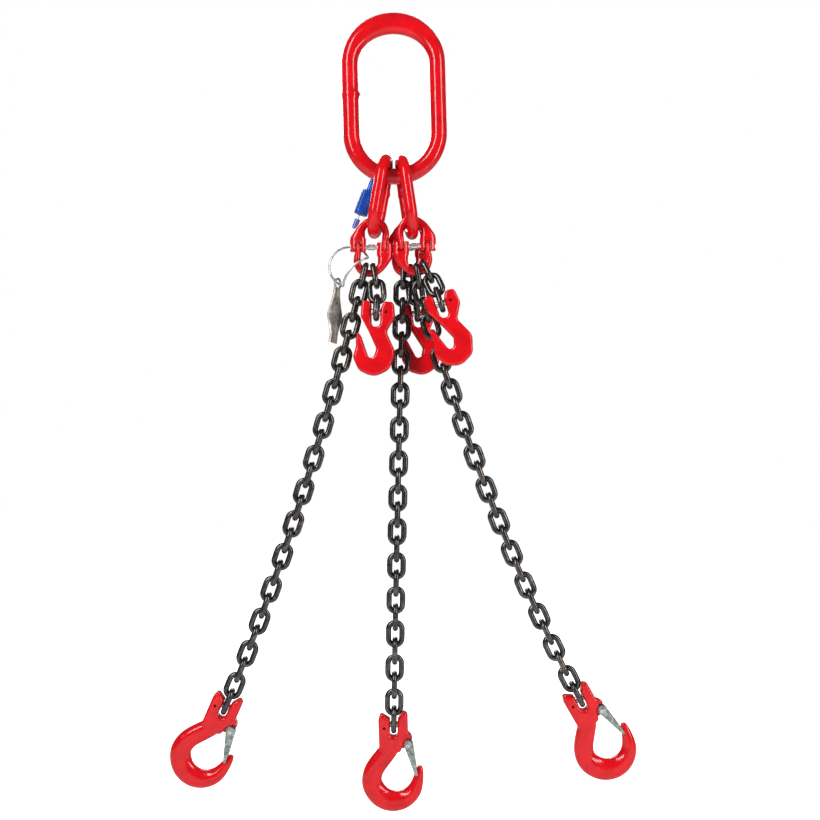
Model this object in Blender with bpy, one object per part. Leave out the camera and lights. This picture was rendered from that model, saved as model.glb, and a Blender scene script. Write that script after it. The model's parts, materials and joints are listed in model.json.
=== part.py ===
"""Three-leg lifting chain sling with shortening hooks, in metres, +Z up.

The origin is the seat in the master link's top crown, where a crane hook bears.
X runs across the sling, -Y is its front. Every moving body hangs on an empty that
sits on its joint's axis, so the empties form the sling's own joint tree.
"""

import math

import bmesh
import bpy
from mathutils import Matrix, Vector

# Master link
MASTER_BAR = 0.023
MASTER_CROWN_BAR = 0.030
MASTER_CROWN_DEPTH = 0.020
MASTER_HALF_WIDTH = 0.0615
MASTER_CROWN_RISE = 0.057
MASTER_TOP_CENTRE = -0.042
MASTER_BOTTOM_CENTRE = -0.1385
MASTER_LEAN = math.radians(-1.5)
MASTER_END_STEPS = 9

# Intermediate links
INTERMEDIATE_BAR = 0.016
INTERMEDIATE_HALF_WIDTH = 0.032
INTERMEDIATE_HALF_LENGTH = 0.052
INTERMEDIATE_YAW = math.radians(-5)
INTERMEDIATE_LIFT = 0.0015
OBLONG_END_STEPS = 9

# Chain
WIRE = 0.008
PITCH = 0.0242
LINK_HALF_WIDTH = 0.0095
LINK_HALF_LENGTH = 0.0161
LINK_CROWN_HALF_FLAT = 0.0032
LINK_SHOULDER = 0.0105
WIRE_SIDES = 5
FUSE = 0.0004
LEG_SEGMENTS = (7, 7, 7, 6)

# Coupling links: the pin runs along X through the local origin
EAR_CENTRE = 0.0187
EAR_WIDTH = 0.0082
SLOT_WIDTH = 0.0090
SLOT_TOP = 0.0092
COUPLING_CROWN_X = 0.0035
COUPLING_CROWN_Z = 0.036
COUPLING_BAR = 0.011
COUPLING_DEPTH = 0.010
COUPLING_PIN_RADIUS = 0.0032
COUPLING_PIN_LENGTH = 0.057
COUPLING_LIFT = 0.0011
SLEEVE_RADIUS = 0.0044
SLEEVE_LENGTH = 0.010

# Clevis hooks: the load pin runs along X through the local origin
CLEVIS_PIN_RADIUS = 0.0045
RETAINING_RADIUS = 0.0018
RETAINING_X = -0.0135
RETAINING_DROP = 0.0040
HOOK_THICKNESS = 0.020
HOOK_PIN_LENGTH = 0.040
HOOK_PIN_MIDDLE = -0.0006
RETAINING_LENGTH = 0.0185
GRAB_THICKNESS = 0.0155
GRAB_PIN_LENGTH = 0.042
GRAB_PIN_MIDDLE = 0.0010
HOOK_CHAMFER = 0.0012
GRAB_CHAMFER = 0.0012

CLEARANCE = 0.0003
CUT = 0.080
SIDE = math.pi / 2
ROUND_SIDES = 12
SMALL_SIDES = 8
SHARP_ANGLE = math.radians(35)
LEAST_MITER = 0.6
LEAST_FILLET = 0.0002
SOME_SIDE = Vector((0.31, 0.17, 0.94))

# Where the links and couplings come, one hung in another
INTERMEDIATE_CROWN = (MASTER_BAR + INTERMEDIATE_BAR) / 2 + CLEARANCE + INTERMEDIATE_LIFT
INTERMEDIATE_BOTTOM = INTERMEDIATE_CROWN - 2 * INTERMEDIATE_HALF_LENGTH
COUPLING_HANG = COUPLING_CROWN_Z - (COUPLING_BAR + INTERMEDIATE_BAR) / 2 - CLEARANCE
# From the bar a link hangs on, about which it swings, up to the middle of its own crown.
BAR_REST = Vector((0, 0, (COUPLING_BAR + WIRE) / 2 + CLEARANCE))
LINK_REST = Vector((0, 0, WIRE + CLEARANCE + FUSE))

RED = ("powder_red", (0.72, 0.01, 0.02, 1), 0.25, 0.0)
BLACK = ("chain_black", (0.03, 0.03, 0.032, 1), 0.35, 0.8)
STEEL = ("plated_steel", (0.62, 0.62, 0.6, 1), 0.3, 1.0)
BLUE = ("seal_blue", (0.02, 0.10, 0.55, 1), 0.35, 0.0)


def clear_scene():
    for obj in list(bpy.data.objects):
        bpy.data.objects.remove(obj, do_unlink=True)


def material(finish):
    name, colour, roughness, metallic = finish
    if name in bpy.data.materials:
        return bpy.data.materials[name]
    made = bpy.data.materials.new(name)
    made.use_nodes = True
    shader = made.node_tree.nodes["Principled BSDF"]
    shader.inputs["Base Color"].default_value = colour
    shader.inputs["Roughness"].default_value = roughness
    shader.inputs["Metallic"].default_value = metallic
    return made


def add_part(name, mesh, finish, parent):
    """One sub-part: its mesh is in its parent empty's own axes."""
    part = bpy.data.objects.new(name, mesh)
    bpy.context.scene.collection.objects.link(part)
    part.parent = parent
    if not mesh.materials:
        mesh.materials.append(material(finish))
    mesh.shade_smooth()
    mesh.set_sharp_from_angle(angle=SHARP_ANGLE)
    return part


def joint_empty(name, parent, location, rotation=(0, 0, 0)):
    empty = bpy.data.objects.new(name, None)
    bpy.context.scene.collection.objects.link(empty)
    empty.empty_display_size = 0.02
    empty.parent = parent
    empty.location = location
    empty.rotation_euler = rotation
    return empty


def finished(shape, name):
    """The bmesh as a mesh datablock with its faces pointing out."""
    bmesh.ops.recalc_face_normals(shape, faces=shape.faces)
    mesh = bpy.data.meshes.new(name)
    shape.to_mesh(mesh)
    shape.free()
    return mesh


def loft(rings, closed, name="loft"):
    """A skin over rings of equal length, capped at both ends unless it closes on itself."""
    shape = bmesh.new()
    grid = [[shape.verts.new(point) for point in ring] for ring in rings]
    pairs = list(zip(grid, grid[1:]))
    if closed:
        pairs.append((grid[-1], grid[0]))
    else:
        shape.faces.new(grid[0])
        shape.faces.new(grid[-1])
    for near, far in pairs:
        for i, corner in enumerate(near):
            j = (i + 1) % len(near)
            shape.faces.new((corner, near[j], far[j], far[i]))
    return finished(shape, name)


def planar_rings(stations, closed, sides, turn=0.0):
    """Cross sections along a path in the XZ plane; a station is (x, z, width, depth)."""
    points = [Vector((x, 0, z)) for x, z, _, _ in stations]
    count = len(points)
    rings = []
    for i, (_, _, width, depth) in enumerate(stations):
        before = points[i] - points[i - 1] if closed or i else points[1] - points[0]
        after = points[(i + 1) % count] - points[i] if closed or i < count - 1 else before
        along = (before.normalized() + after.normalized()).normalized()
        miter = 1 / max(along.dot(after.normalized()), LEAST_MITER)
        side = Vector((-along.z, 0, along.x))
        ring = []
        for k in range(sides):
            angle = math.tau * (k + turn) / sides
            across = side * (math.cos(angle) * miter * width / 2)
            ring.append(points[i] + across + Vector((0, math.sin(angle) * depth / 2, 0)))
        rings.append(ring)
    return rings


def tube(path, radius, closed, sides, name):
    """A round wire along any path of points, its cross section carried along without twist."""
    points = [Vector(point) for point in path]
    count = len(points)
    side = SOME_SIDE
    rings = []
    for i, here in enumerate(points):
        before = points[i - 1] if closed or i else here * 2 - points[1]
        after = points[(i + 1) % count] if closed or i < count - 1 else here * 2 - before
        along = ((here - before).normalized() + (after - here).normalized()).normalized()
        side = (side - along * side.dot(along)).normalized()
        other = along.cross(side)
        turns = [math.tau * k / sides for k in range(sides)]
        rings.append([here + (side * math.cos(a) + other * math.sin(a)) * radius for a in turns])
    return loft(rings, closed, name)


def arc(centre_x, centre_z, radius_x, radius_z, start, end, steps):
    """Points from start to end (degrees, counter-clockwise seen from the front)."""
    angles = [math.radians(start + (end - start) * k / steps) for k in range(steps + 1)]
    return [(centre_x + radius_x * math.cos(a), centre_z + radius_z * math.sin(a)) for a in angles]


def rounded(corners, steps=2):
    """An outline from (x, z, radius) corners, each with a fillet of its radius."""
    outline = []
    count = len(corners)
    for i, (x, z, radius) in enumerate(corners):
        here = Vector((x, z))
        back = (Vector(corners[i - 1][:2]) - here).normalized()
        ahead = (Vector(corners[(i + 1) % count][:2]) - here).normalized()
        half = back.angle(ahead) / 2
        if radius == 0:
            outline.append((x, z))
            continue
        centre = here + (back + ahead).normalized() * (radius / math.sin(half))
        first = here + back * (radius / math.tan(half)) - centre
        last = here + ahead * (radius / math.tan(half)) - centre
        sweep = first.angle_signed(last)
        for k in range(steps + 1):
            turned = Matrix.Rotation(-sweep * k / steps, 2) @ first
            outline.append(tuple(centre + turned))
    return outline


def inset(corners, distance):
    """Counter-clockwise (x, z, radius) corners moved inwards; convex fillets shrink."""
    count = len(corners)
    moved_in = []
    for i, (x, z, radius) in enumerate(corners):
        here = Vector((x, z))
        back = (here - Vector(corners[i - 1][:2])).normalized()
        ahead = (Vector(corners[(i + 1) % count][:2]) - here).normalized()
        along = (back + ahead).normalized()
        reach = distance / along.dot(ahead)
        convex = back.x * ahead.y - back.y * ahead.x > 0
        if radius:
            radius = max(radius - distance, LEAST_FILLET) if convex else radius + distance
        moved_in.append((x - along.y * reach, z + along.x * reach, radius))
    return moved_in


def plate(outline, thickness):
    """An outline in XZ made thickness deep along Y, centred on Y = 0."""
    ends = (-thickness / 2, thickness / 2)
    return loft([[Vector((x, y, z)) for x, z in outline] for y in ends], False)


def chamfered_plate(corners, thickness, chamfer, steps):
    """A plate from (x, z, radius) corners with chamfered front and back edges."""
    outline = rounded(corners, steps)
    small = rounded(inset(corners, chamfer), steps)
    half = thickness / 2
    levels = [(small, -half), (outline, chamfer - half), (outline, half - chamfer), (small, half)]
    return loft([[Vector((x, y, z)) for x, z in points] for points, y in levels], False)


def rod(radius, length, axis, centre=(0, 0, 0), sides=ROUND_SIDES):
    """A round bar along X, Y or Z."""
    shape = bmesh.new()
    turn = {"X": Matrix.Rotation(math.pi / 2, 4, "Y"), "Y": Matrix.Rotation(math.pi / 2, 4, "X")}
    place = Matrix.Translation(centre) @ turn.get(axis, Matrix.Identity(4))
    bmesh.ops.create_cone(
        shape, cap_ends=True, segments=sides, radius1=radius, radius2=radius, depth=length, matrix=place
    )
    return finished(shape, "rod")


def box(low, high):
    shape = bmesh.new()
    size = Vector(high) - Vector(low)
    place = Matrix.Translation((Vector(high) + Vector(low)) / 2) @ Matrix.Diagonal((*size, 1))
    bmesh.ops.create_cube(shape, size=1, matrix=place)
    return finished(shape, "box")


def moved(mesh, matrix):
    copy = mesh.copy()
    copy.transform(matrix)
    return copy


def joined(meshes):
    """Several separate shells in one mesh, for use as one tool of a Boolean."""
    shape = bmesh.new()
    for mesh in meshes:
        shape.from_mesh(mesh)
    return finished(shape, "joined")


def combined(base, steps, name):
    """The base mesh after each (operation, tool mesh) Boolean in turn."""
    work = bpy.data.objects.new("work", base)
    bpy.context.scene.collection.objects.link(work)
    tools = []
    for operation, mesh in steps:
        tool = bpy.data.objects.new("tool", mesh)
        bpy.context.scene.collection.objects.link(tool)
        tools.append(tool)
        cut = work.modifiers.new(operation, "BOOLEAN")
        cut.operation = operation
        cut.solver = "EXACT"
        cut.object = tool
    bpy.context.view_layer.update()
    graph = bpy.context.evaluated_depsgraph_get()
    result = bpy.data.meshes.new_from_object(work.evaluated_get(graph))
    result.name = name
    for helper in tools + [work]:
        bpy.data.objects.remove(helper, do_unlink=True)
    return result


# ---------------------------------------------------------------- links


def master_mesh():
    """An oblong ring, its crown flattened front to back, its seat facet moved to the origin."""
    stations = []
    top = arc(0, MASTER_TOP_CENTRE, MASTER_HALF_WIDTH, MASTER_CROWN_RISE, 0, 180, MASTER_END_STEPS)
    for k, (x, z) in enumerate(top):
        share = math.sin(math.pi * k / MASTER_END_STEPS) ** 2
        width = MASTER_BAR + (MASTER_CROWN_BAR - MASTER_BAR) * share
        depth = MASTER_BAR + (MASTER_CROWN_DEPTH - MASTER_BAR) * share
        stations.append((x, z, width, depth))
    radius = MASTER_HALF_WIDTH
    for x, z in arc(0, MASTER_BOTTOM_CENTRE, radius, radius, 180, 360, MASTER_END_STEPS):
        stations.append((x, z, MASTER_BAR, MASTER_BAR))
    rings = planar_rings(stations, True, 10, 0.5)
    seat = Vector((0, 0, min(point.z for point in rings[MASTER_END_STEPS // 2])))
    return loft([[point - seat for point in ring] for ring in rings], True, "master_link")


def oblong_mesh(half_width, half_length, bar, name):
    """A link with straight sides and round ends, standing in the XZ plane."""
    shift = half_length - half_width
    points = arc(0, shift, half_width, half_width, 0, 180, OBLONG_END_STEPS)
    points += arc(0, -shift, half_width, half_width, 180, 360, OBLONG_END_STEPS)
    stations = [(x, z, bar, bar) for x, z in points]
    return loft(planar_rings(stations, True, 8), True, name)


def link_mesh():
    """One chain link standing in the XZ plane, a hair long so that its neighbours fuse."""
    end = LINK_HALF_LENGTH - FUSE / 2
    quarter = [(LINK_HALF_WIDTH, LINK_SHOULDER), (LINK_CROWN_HALF_FLAT, end)]
    half = quarter + [(-x, z) for x, z in reversed(quarter)]
    points = half + [(-x, -z) for x, z in half]
    stations = [(x, z, WIRE, WIRE) for x, z in points]
    return loft(planar_rings(stations, True, WIRE_SIDES), True)


def chain_mesh(angles, first_edge_on, rest):
    """Links bearing on each other as one body, the first with its crown at rest.

    Each link hangs at its own angle about Y. Alternate links stand across each other.
    """
    link = link_mesh()
    sets = ([], [])
    spot = rest
    for k, angle in enumerate(angles):
        edge_on = (k % 2 == 0) == first_edge_on
        hang = Matrix.Translation(spot) @ Matrix.Rotation(angle, 4, "Y")
        centred = Matrix.Translation((0, 0, -LINK_HALF_LENGTH))
        across = Matrix.Rotation(SIDE if edge_on else 0, 4, "Z")
        sets[k % 2].append(moved(link, hang @ centred @ across))
        spot = spot + along_link(angle, PITCH)
    return combined(joined(sets[0]), [("UNION", joined(sets[1]))], "chain")


def along_link(angle, distance):
    return Matrix.Rotation(angle, 3, "Y") @ Vector((0, 0, -distance))


def chain_end(angles, rest):
    """Where the crown of whatever hangs on a run's last link comes."""
    spot = rest
    for angle in angles:
        spot = spot + along_link(angle, PITCH)
    return spot - along_link(angles[-1], CLEARANCE + FUSE)


# ---------------------------------------------------------------- couplings


def coupling_half_mesh():
    """The upper half: a single ear at +X, a crown, and a fork at -X."""
    ear = EAR_CENTRE
    stations = [
        (ear, -0.0066, EAR_WIDTH, 0.0090),
        (ear, -0.0030, EAR_WIDTH, 0.0130),
        (ear, 0.0076, EAR_WIDTH, 0.0130),
        (0.0196, 0.0125, 0.0092, 0.0118),
        (0.0200, 0.0205, 0.0094, 0.0106),
        (0.0162, 0.0300, COUPLING_BAR, COUPLING_DEPTH),
        (0.0090, 0.0352, COUPLING_BAR, COUPLING_DEPTH),
        (-0.0015, 0.0362, COUPLING_BAR, COUPLING_DEPTH),
        (-0.0095, 0.0315, 0.0115, COUPLING_DEPTH),
        (-0.0145, 0.0255, 0.0130, 0.0112),
        (-0.0172, 0.0185, 0.0170, 0.0125),
        (-ear, 0.0115, 0.0219, 0.0130),
        (-ear, -0.0030, 0.0219, 0.0130),
        (-ear, -0.0066, 0.0219, 0.0090),
    ]
    body = loft(planar_rings(stations, False, 8, 0.5), False)
    slot = box(
        (-ear - SLOT_WIDTH / 2, -CUT, -CUT), (-ear + SLOT_WIDTH / 2, CUT, SLOT_TOP)
    )
    bore = rod(COUPLING_PIN_RADIUS + CLEARANCE, CUT * 2, "X")
    return combined(body, [("DIFFERENCE", slot), ("DIFFERENCE", bore)], "coupling_half")


def sleeve_mesh():
    body = rod(SLEEVE_RADIUS, SLEEVE_LENGTH, "X")
    bore = rod(COUPLING_PIN_RADIUS + CLEARANCE, CUT, "X")
    return combined(body, [("DIFFERENCE", bore)], "sleeve")


# ---------------------------------------------------------------- clevis hooks

# Stations along the sling hook's shank and bowl: x, z, width, depth.
SLING_HOOK_STATIONS = (
    (-0.0010, -0.0240, 0.0250, 0.0170),
    (-0.0089, -0.0354, 0.0262, 0.0170),
    (-0.0252, -0.0587, 0.0272, 0.0175),
    (-0.0300, -0.0758, 0.0285, 0.0195),
    (-0.0213, -0.0966, 0.0290, 0.0205),
    (-0.0055, -0.1048, 0.0282, 0.0205),
    (0.0050, -0.1048, 0.0282, 0.0205),
    (0.0235, -0.0953, 0.0245, 0.0190),
    (0.0345, -0.0765, 0.0165, 0.0155),
    (0.0373, -0.0631, 0.0118, 0.0120),
    (0.0380, -0.0545, 0.0065, 0.0075),
)
# The flats of an eight-sided section lie inside its corners, so the corners are set out wider.
SECTION_SWELL = 1.06
SLING_EARS = (
    (-0.0053, 0.0120, 0.0012),
    (-0.0190, 0.0198, 0.0035),
    (-0.0222, 0.0110, 0.0040),
    (-0.0212, -0.0100, 0.0040),
    (-0.0202, -0.0300, 0.0040),
    (-0.0080, -0.0400, 0.0040),
    (0.0099, -0.0333, 0.0020),
    (0.0140, -0.0250, 0.0020),
    (0.0150, -0.0190, 0.0030),
    (0.0215, -0.0130, 0.0020),
    (0.0280, -0.0160, 0.0008),
    (0.0240, -0.0090, 0.0030),
    (0.0205, -0.0060, 0.0030),
    (0.0195, 0.0190, 0.0035),
    (0.0130, 0.0235, 0.0030),
    (0.0053, 0.0120, 0.0012),
    (0.0053, -0.0124, 0.0050),
    (-0.0053, -0.0124, 0.0050),
)
LATCH_PIVOT = Vector((0.0206, 0, -0.0240))
LATCH_PIN_RADIUS = 0.0020
LATCH_PIN_LENGTH = 0.0200
LATCH_LUG_THICKNESS = 0.0060
LATCH_OUTER = 0.0190
LATCH_INNER = 0.0160
LATCH_ROOM = 0.0088
LATCH_FORK = -0.0285
HOOK_DROP = Vector((0, 0, -RETAINING_DROP))

GRAB_OUTLINE = (
    (-0.0074, 0.0120, 0.0030),
    (-0.0110, 0.0150, 0.0030),
    (-0.0210, 0.0150, 0.0050),
    (-0.0213, -0.0070, 0.0040),
    (-0.0095, -0.0270, 0.0000),
    (0.0024, -0.0510, 0.0060),
    (-0.0020, -0.0650, 0.0050),
    (-0.0090, -0.0620, 0.0040),
    (-0.0196, -0.0350, 0.0100),
    (-0.0240, -0.0285, 0.0016),
    (-0.0270, -0.0350, 0.0060),
    (-0.0262, -0.0480, 0.0060),
    (-0.0300, -0.0640, 0.0120),
    (-0.0210, -0.0820, 0.0140),
    (0.0000, -0.0910, 0.0220),
    (0.0215, -0.0790, 0.0160),
    (0.0285, -0.0540, 0.0140),
    (0.0150, -0.0270, 0.0080),
    (0.0265, -0.0060, 0.0100),
    (0.0235, 0.0150, 0.0060),
    (0.0105, 0.0150, 0.0050),
    (0.0062, 0.0050, 0.0040),
    (0.0060, -0.0200, 0.0055),
    (-0.0060, -0.0200, 0.0055),
)


def sling_hook_mesh():
    """The hook, drawn about its retaining pin and then lowered to hang from its load pin."""
    swell = SECTION_SWELL
    stations = [(x, z, width * swell, depth * swell) for x, z, width, depth in SLING_HOOK_STATIONS]
    shank = loft(planar_rings(stations, False, 8, 0.5), False)
    ears = chamfered_plate(SLING_EARS, HOOK_THICKNESS, HOOK_CHAMFER, 1)
    pivot_x, _, pivot_z = LATCH_PIVOT
    lug_outline = rounded(
        (
            (0.0060, -0.0140, 0.0),
            (0.0060, -0.0300, 0.0),
            (pivot_x + 0.0010, pivot_z - 0.0042, 0.0025),
            (pivot_x + 0.0045, pivot_z + 0.0030, 0.0030),
        )
    )
    lug = plate(lug_outline, LATCH_LUG_THICKNESS)
    room = plate(arc(pivot_x, pivot_z, LATCH_ROOM, LATCH_ROOM, 0, 330, 11), LATCH_OUTER + 4 * CLEARANCE)
    load_bore = rod(CLEVIS_PIN_RADIUS + CLEARANCE, CUT * 2, "X", (0, 0, RETAINING_DROP))
    steps = [
        ("UNION", ears),
        ("DIFFERENCE", room),
        ("UNION", lug),
        ("DIFFERENCE", rod(LATCH_PIN_RADIUS + CLEARANCE, CUT, "Y", LATCH_PIVOT)),
        ("DIFFERENCE", load_bore),
        ("DIFFERENCE", rod(RETAINING_RADIUS + CLEARANCE, CUT, "Y", (RETAINING_X, 0, 0), SMALL_SIDES)),
    ]
    return moved(combined(shank, steps, "sling_hook"), Matrix.Translation(HOOK_DROP))


def grab_hook_mesh():
    body = chamfered_plate(GRAB_OUTLINE, GRAB_THICKNESS, GRAB_CHAMFER, 2)
    bore = rod(CLEVIS_PIN_RADIUS + CLEARANCE, CUT * 2, "X")
    return combined(body, [("DIFFERENCE", bore)], "grab_hook")


def load_pin_mesh(length, middle_x):
    return rod(CLEVIS_PIN_RADIUS, length, "X", (middle_x, 0, 0))


def drilled_pin_mesh(length, middle_x):
    """A load pin with the groove that its retaining pin lies in."""
    place = (RETAINING_X, 0, -RETAINING_DROP)
    groove = rod(RETAINING_RADIUS + CLEARANCE, CUT, "Y", place, SMALL_SIDES)
    return combined(load_pin_mesh(length, middle_x), [("DIFFERENCE", groove)], "load_pin")


def latch_mesh():
    """A sheet-metal channel about the pivot; its web ends above the hook tip it straddles."""
    top = ((-0.0062, 0.0020), (-0.0035, 0.0062), (0.0035, 0.0066), (0.0068, 0.0010))
    tip = ((0.0140, -0.0420), (0.0110, -0.0430))
    reach = 0.0600
    pocket = (
        (-reach, reach),
        (0.0035, reach),
        (0.0053, 0.0010),
        (0.0101, LATCH_FORK),
        (reach, LATCH_FORK),
        (reach, -reach),
        (-reach, -reach),
    )
    steps = [
        ("DIFFERENCE", plate(pocket, LATCH_INNER)),
        ("DIFFERENCE", rod(LATCH_PIN_RADIUS + CLEARANCE, CUT, "Y")),
    ]
    return combined(plate(top + tip, LATCH_OUTER), steps, "latch")


def spring_mesh():
    """Two and a half turns of wire round the latch pin, between the lug and the front cheek."""
    radius, wire, turns, steps, rise = 0.0034, 0.0010, 2.5, 18, -0.0013
    start = -LATCH_LUG_THICKNESS / 2 - 0.0011
    path = []
    for k in range(steps + 1):
        angle = math.tau * turns * k / steps
        height = start + rise * turns * k / steps
        path.append((radius * math.cos(angle), height, radius * math.sin(angle)))
    return tube(path, wire / 2, False, 4, "latch_spring")


# ---------------------------------------------------------------- tag and seal

# The tag's wire loop, about the left coupling's pin: behind the fork, forwards through the
# lower eye, in front of the arm and round in a circle on the left.
LOOP_CENTRE = (-0.0302, -0.0274)
LOOP_RADIUS = 0.0288
LOOP_WIRE = 0.0030
LOOP_START = -110
LOOP_END = -240
LOOP_STEPS = 8
LOOP_END_DEPTH = 0.0065
LOOP_BACK = (
    (-0.0352, 0.0085, 0.0010),
    (-0.0227, 0.0095, 0.0004),
    (-0.0117, 0.0093, -0.0053),
    (-0.0066, 0.0062, -0.0109),
    (-0.0052, 0.0005, -0.0146),
    (-0.0085, -0.0050, -0.0165),
    (-0.0150, -0.0092, -0.0200),
    (-0.0240, -0.0096, -0.0265),
    (-0.0330, -0.0072, -0.0370),
    (-0.0385, -0.0035, -0.0480),
)
TAG_TOP = Vector((-0.0472, 0.0001, -0.0506))
TAG_TURN = math.radians(60)
TAG_LEAN = math.radians(7)
TAG_OUTLINE = (
    (-0.0060, 0.0030, 0.0020),
    (-0.0080, -0.0140, 0.0100),
    (-0.0190, -0.0440, 0.0060),
    (-0.0085, -0.0710, 0.0060),
    (-0.0100, -0.0825, 0.0020),
    (0.0100, -0.0825, 0.0020),
    (0.0085, -0.0710, 0.0060),
    (0.0190, -0.0440, 0.0060),
    (0.0080, -0.0140, 0.0100),
    (0.0060, 0.0030, 0.0020),
)
TAG_THICKNESS = 0.0020
TAG_EYE = 0.0060
TAG_EYE_RIM = 0.0087
TAG_EYE_Z = 0.0020
TAG_HANG = Vector((0, 0, -0.0025))
SEAL_BORE = 0.0030
SEAL_NECK_RADIUS = 0.0042
SEAL_NECK_LENGTH = 0.020
SEAL_NECK_Z = -0.0090
SEAL_BODY_RADIUS = 0.0100
SEAL_BODY_LENGTH = 0.036
SEAL_BODY_Z = -0.034
FERRULE_RADIUS = 0.0042
FERRULE_LENGTH = 0.014
FERRULE_Z = -0.0665
SEAL_CABLE = 0.0024
SEAL_STRAND = 0.00145
SEAL_SLOPE = math.radians(35)
SEAL_NECK = Vector((-0.0188, 0.0013, -0.0152))
SEAL_LEAN = math.radians(10)
SEAL_LOOP = 0.0103


def tag_loop_mesh():
    centre_x, centre_z = LOOP_CENTRE
    left = arc(centre_x, centre_z, LOOP_RADIUS, LOOP_RADIUS, LOOP_START, LOOP_END, LOOP_STEPS)
    front = [(x, LOOP_END_DEPTH * (k / LOOP_STEPS) ** 2, z) for k, (x, z) in enumerate(left)]
    return tube(front + list(LOOP_BACK), LOOP_WIRE / 2, True, 6, "tag_loop")


def tag_mesh():
    """A blank plate hung by an eye at its top."""
    body = plate(rounded(TAG_OUTLINE), TAG_THICKNESS)
    eye = rod(TAG_EYE_RIM, TAG_THICKNESS, "Y", (0, 0, TAG_EYE_Z))
    hole = rod(TAG_EYE, CUT, "Y", (0, 0, TAG_EYE_Z))
    return combined(body, [("UNION", eye), ("DIFFERENCE", hole)], "id_tag")


def seal_body_mesh():
    """A hexagonal barrel below a round neck, bored right through for the cable."""
    barrel = rod(SEAL_BODY_RADIUS, SEAL_BODY_LENGTH, "Z", (0, 0, SEAL_BODY_Z), 6)
    neck = rod(SEAL_NECK_RADIUS, SEAL_NECK_LENGTH, "Z", (0, 0, SEAL_NECK_Z))
    bore = rod(SEAL_BORE, CUT * 2, "Z", sides=SMALL_SIDES)
    return combined(barrel, [("UNION", neck), ("DIFFERENCE", bore)], "seal_body")


def seal_hang():
    """The seal's own axes in those of its cable's loop, which lies across the link's bar."""
    upright = Matrix.Rotation(-SEAL_SLOPE, 4, "X") @ Matrix.Rotation(SEAL_LEAN, 4, "Y")
    return Matrix.Translation(SEAL_NECK) @ upright


def seal_cable_mesh():
    """From the ferrule up through the barrel, round the link's bar and back into the neck."""
    hang = seal_hang()
    up = [hang @ Vector((-SEAL_STRAND, 0, z)) for z in (-0.0660, 0.0010)]
    down = [hang @ Vector((SEAL_STRAND, 0, z)) for z in (0.0010, -0.0150)]
    loop = [Vector((x, y, 0)) for x, y in arc(0, 0, SEAL_LOOP, SEAL_LOOP, 205, 495, 11)]
    return tube(up + loop + down, SEAL_CABLE / 2, False, 6, "seal_cable")


def seal_ferrule_mesh():
    """A sleeve on the cable's end, blind at its lower end."""
    body = rod(FERRULE_RADIUS, FERRULE_LENGTH, "Z", (-SEAL_STRAND, 0, FERRULE_Z))
    middle = (-SEAL_STRAND, 0, FERRULE_Z + FERRULE_LENGTH)
    bore = rod(SEAL_CABLE / 2 + CLEARANCE, FERRULE_LENGTH * 2, "Z", middle, SMALL_SIDES)
    return combined(body, [("DIFFERENCE", bore)], "seal_ferrule")


# ---------------------------------------------------------------- the assembly


def leg_angles(middle_cot, slope, ease):
    """Every link's angle about Y on a leg drawn sideways.

    The cotangent falls steadily down the leg; ease holds the first links nearer to plumb.
    """
    middle = sum(LEG_SEGMENTS) // 2 + 1
    count = sum(LEG_SEGMENTS)
    full = [math.atan(1 / (middle_cot - slope * (link - middle))) for link in range(count)]
    return [angle - math.radians(ease) * 0.6**link for link, angle in enumerate(full)]


def add_leg(side, parent, crown, angles):
    """Four runs of chain, one after another; returns the last and where its end is."""
    turned = 0
    first_link = 0
    spot = Vector(crown)
    rest = BAR_REST
    for number, count in enumerate(LEG_SEGMENTS, 1):
        run_angles = angles[first_link : first_link + count]
        turn = run_angles[0] - turned
        place = spot - Matrix.Rotation(turn, 3, "Y") @ rest
        parent = joint_empty(f"joint_{side}_leg_{number}", parent, place, (0, turn, 0))
        bends = [angle - run_angles[0] for angle in run_angles]
        add_part(f"{side}_leg_chain_{number}", chain_mesh(bends, first_link % 2 == 0, rest), BLACK, parent)
        turned = run_angles[0]
        first_link += count
        spot = chain_end(bends, rest)
        rest = LINK_REST
    return parent, spot, bends[-1]


def pin_drop(spot, angle):
    """Where a load pin hangs in the last link of a run that ends at spot."""
    return spot - along_link(angle, CLEVIS_PIN_RADIUS - WIRE / 2)


def add_sling_hook(side, meshes, leg, turn):
    """A hook with its pins and latch on the end of a leg, turned a little past its last link."""
    parent, spot, bend = leg
    hook = joint_empty(f"joint_{side}_sling_hook", parent, pin_drop(spot, bend), (0, bend + turn, 0))
    add_part(f"{side}_sling_hook", meshes["hook"], RED, hook)
    add_part(f"{side}_hook_load_pin", meshes["hook_pin"], STEEL, hook)
    add_part(f"{side}_hook_retaining_pin", meshes["retaining"], STEEL, hook)
    add_part(f"{side}_latch_pin", meshes["latch_pin"], STEEL, hook)
    latch = joint_empty(f"joint_{side}_latch", hook, LATCH_PIVOT + HOOK_DROP)
    add_part(f"{side}_latch", meshes["latch"], STEEL, latch)
    add_part(f"{side}_latch_spring", meshes["spring"], STEEL, latch)


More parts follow.
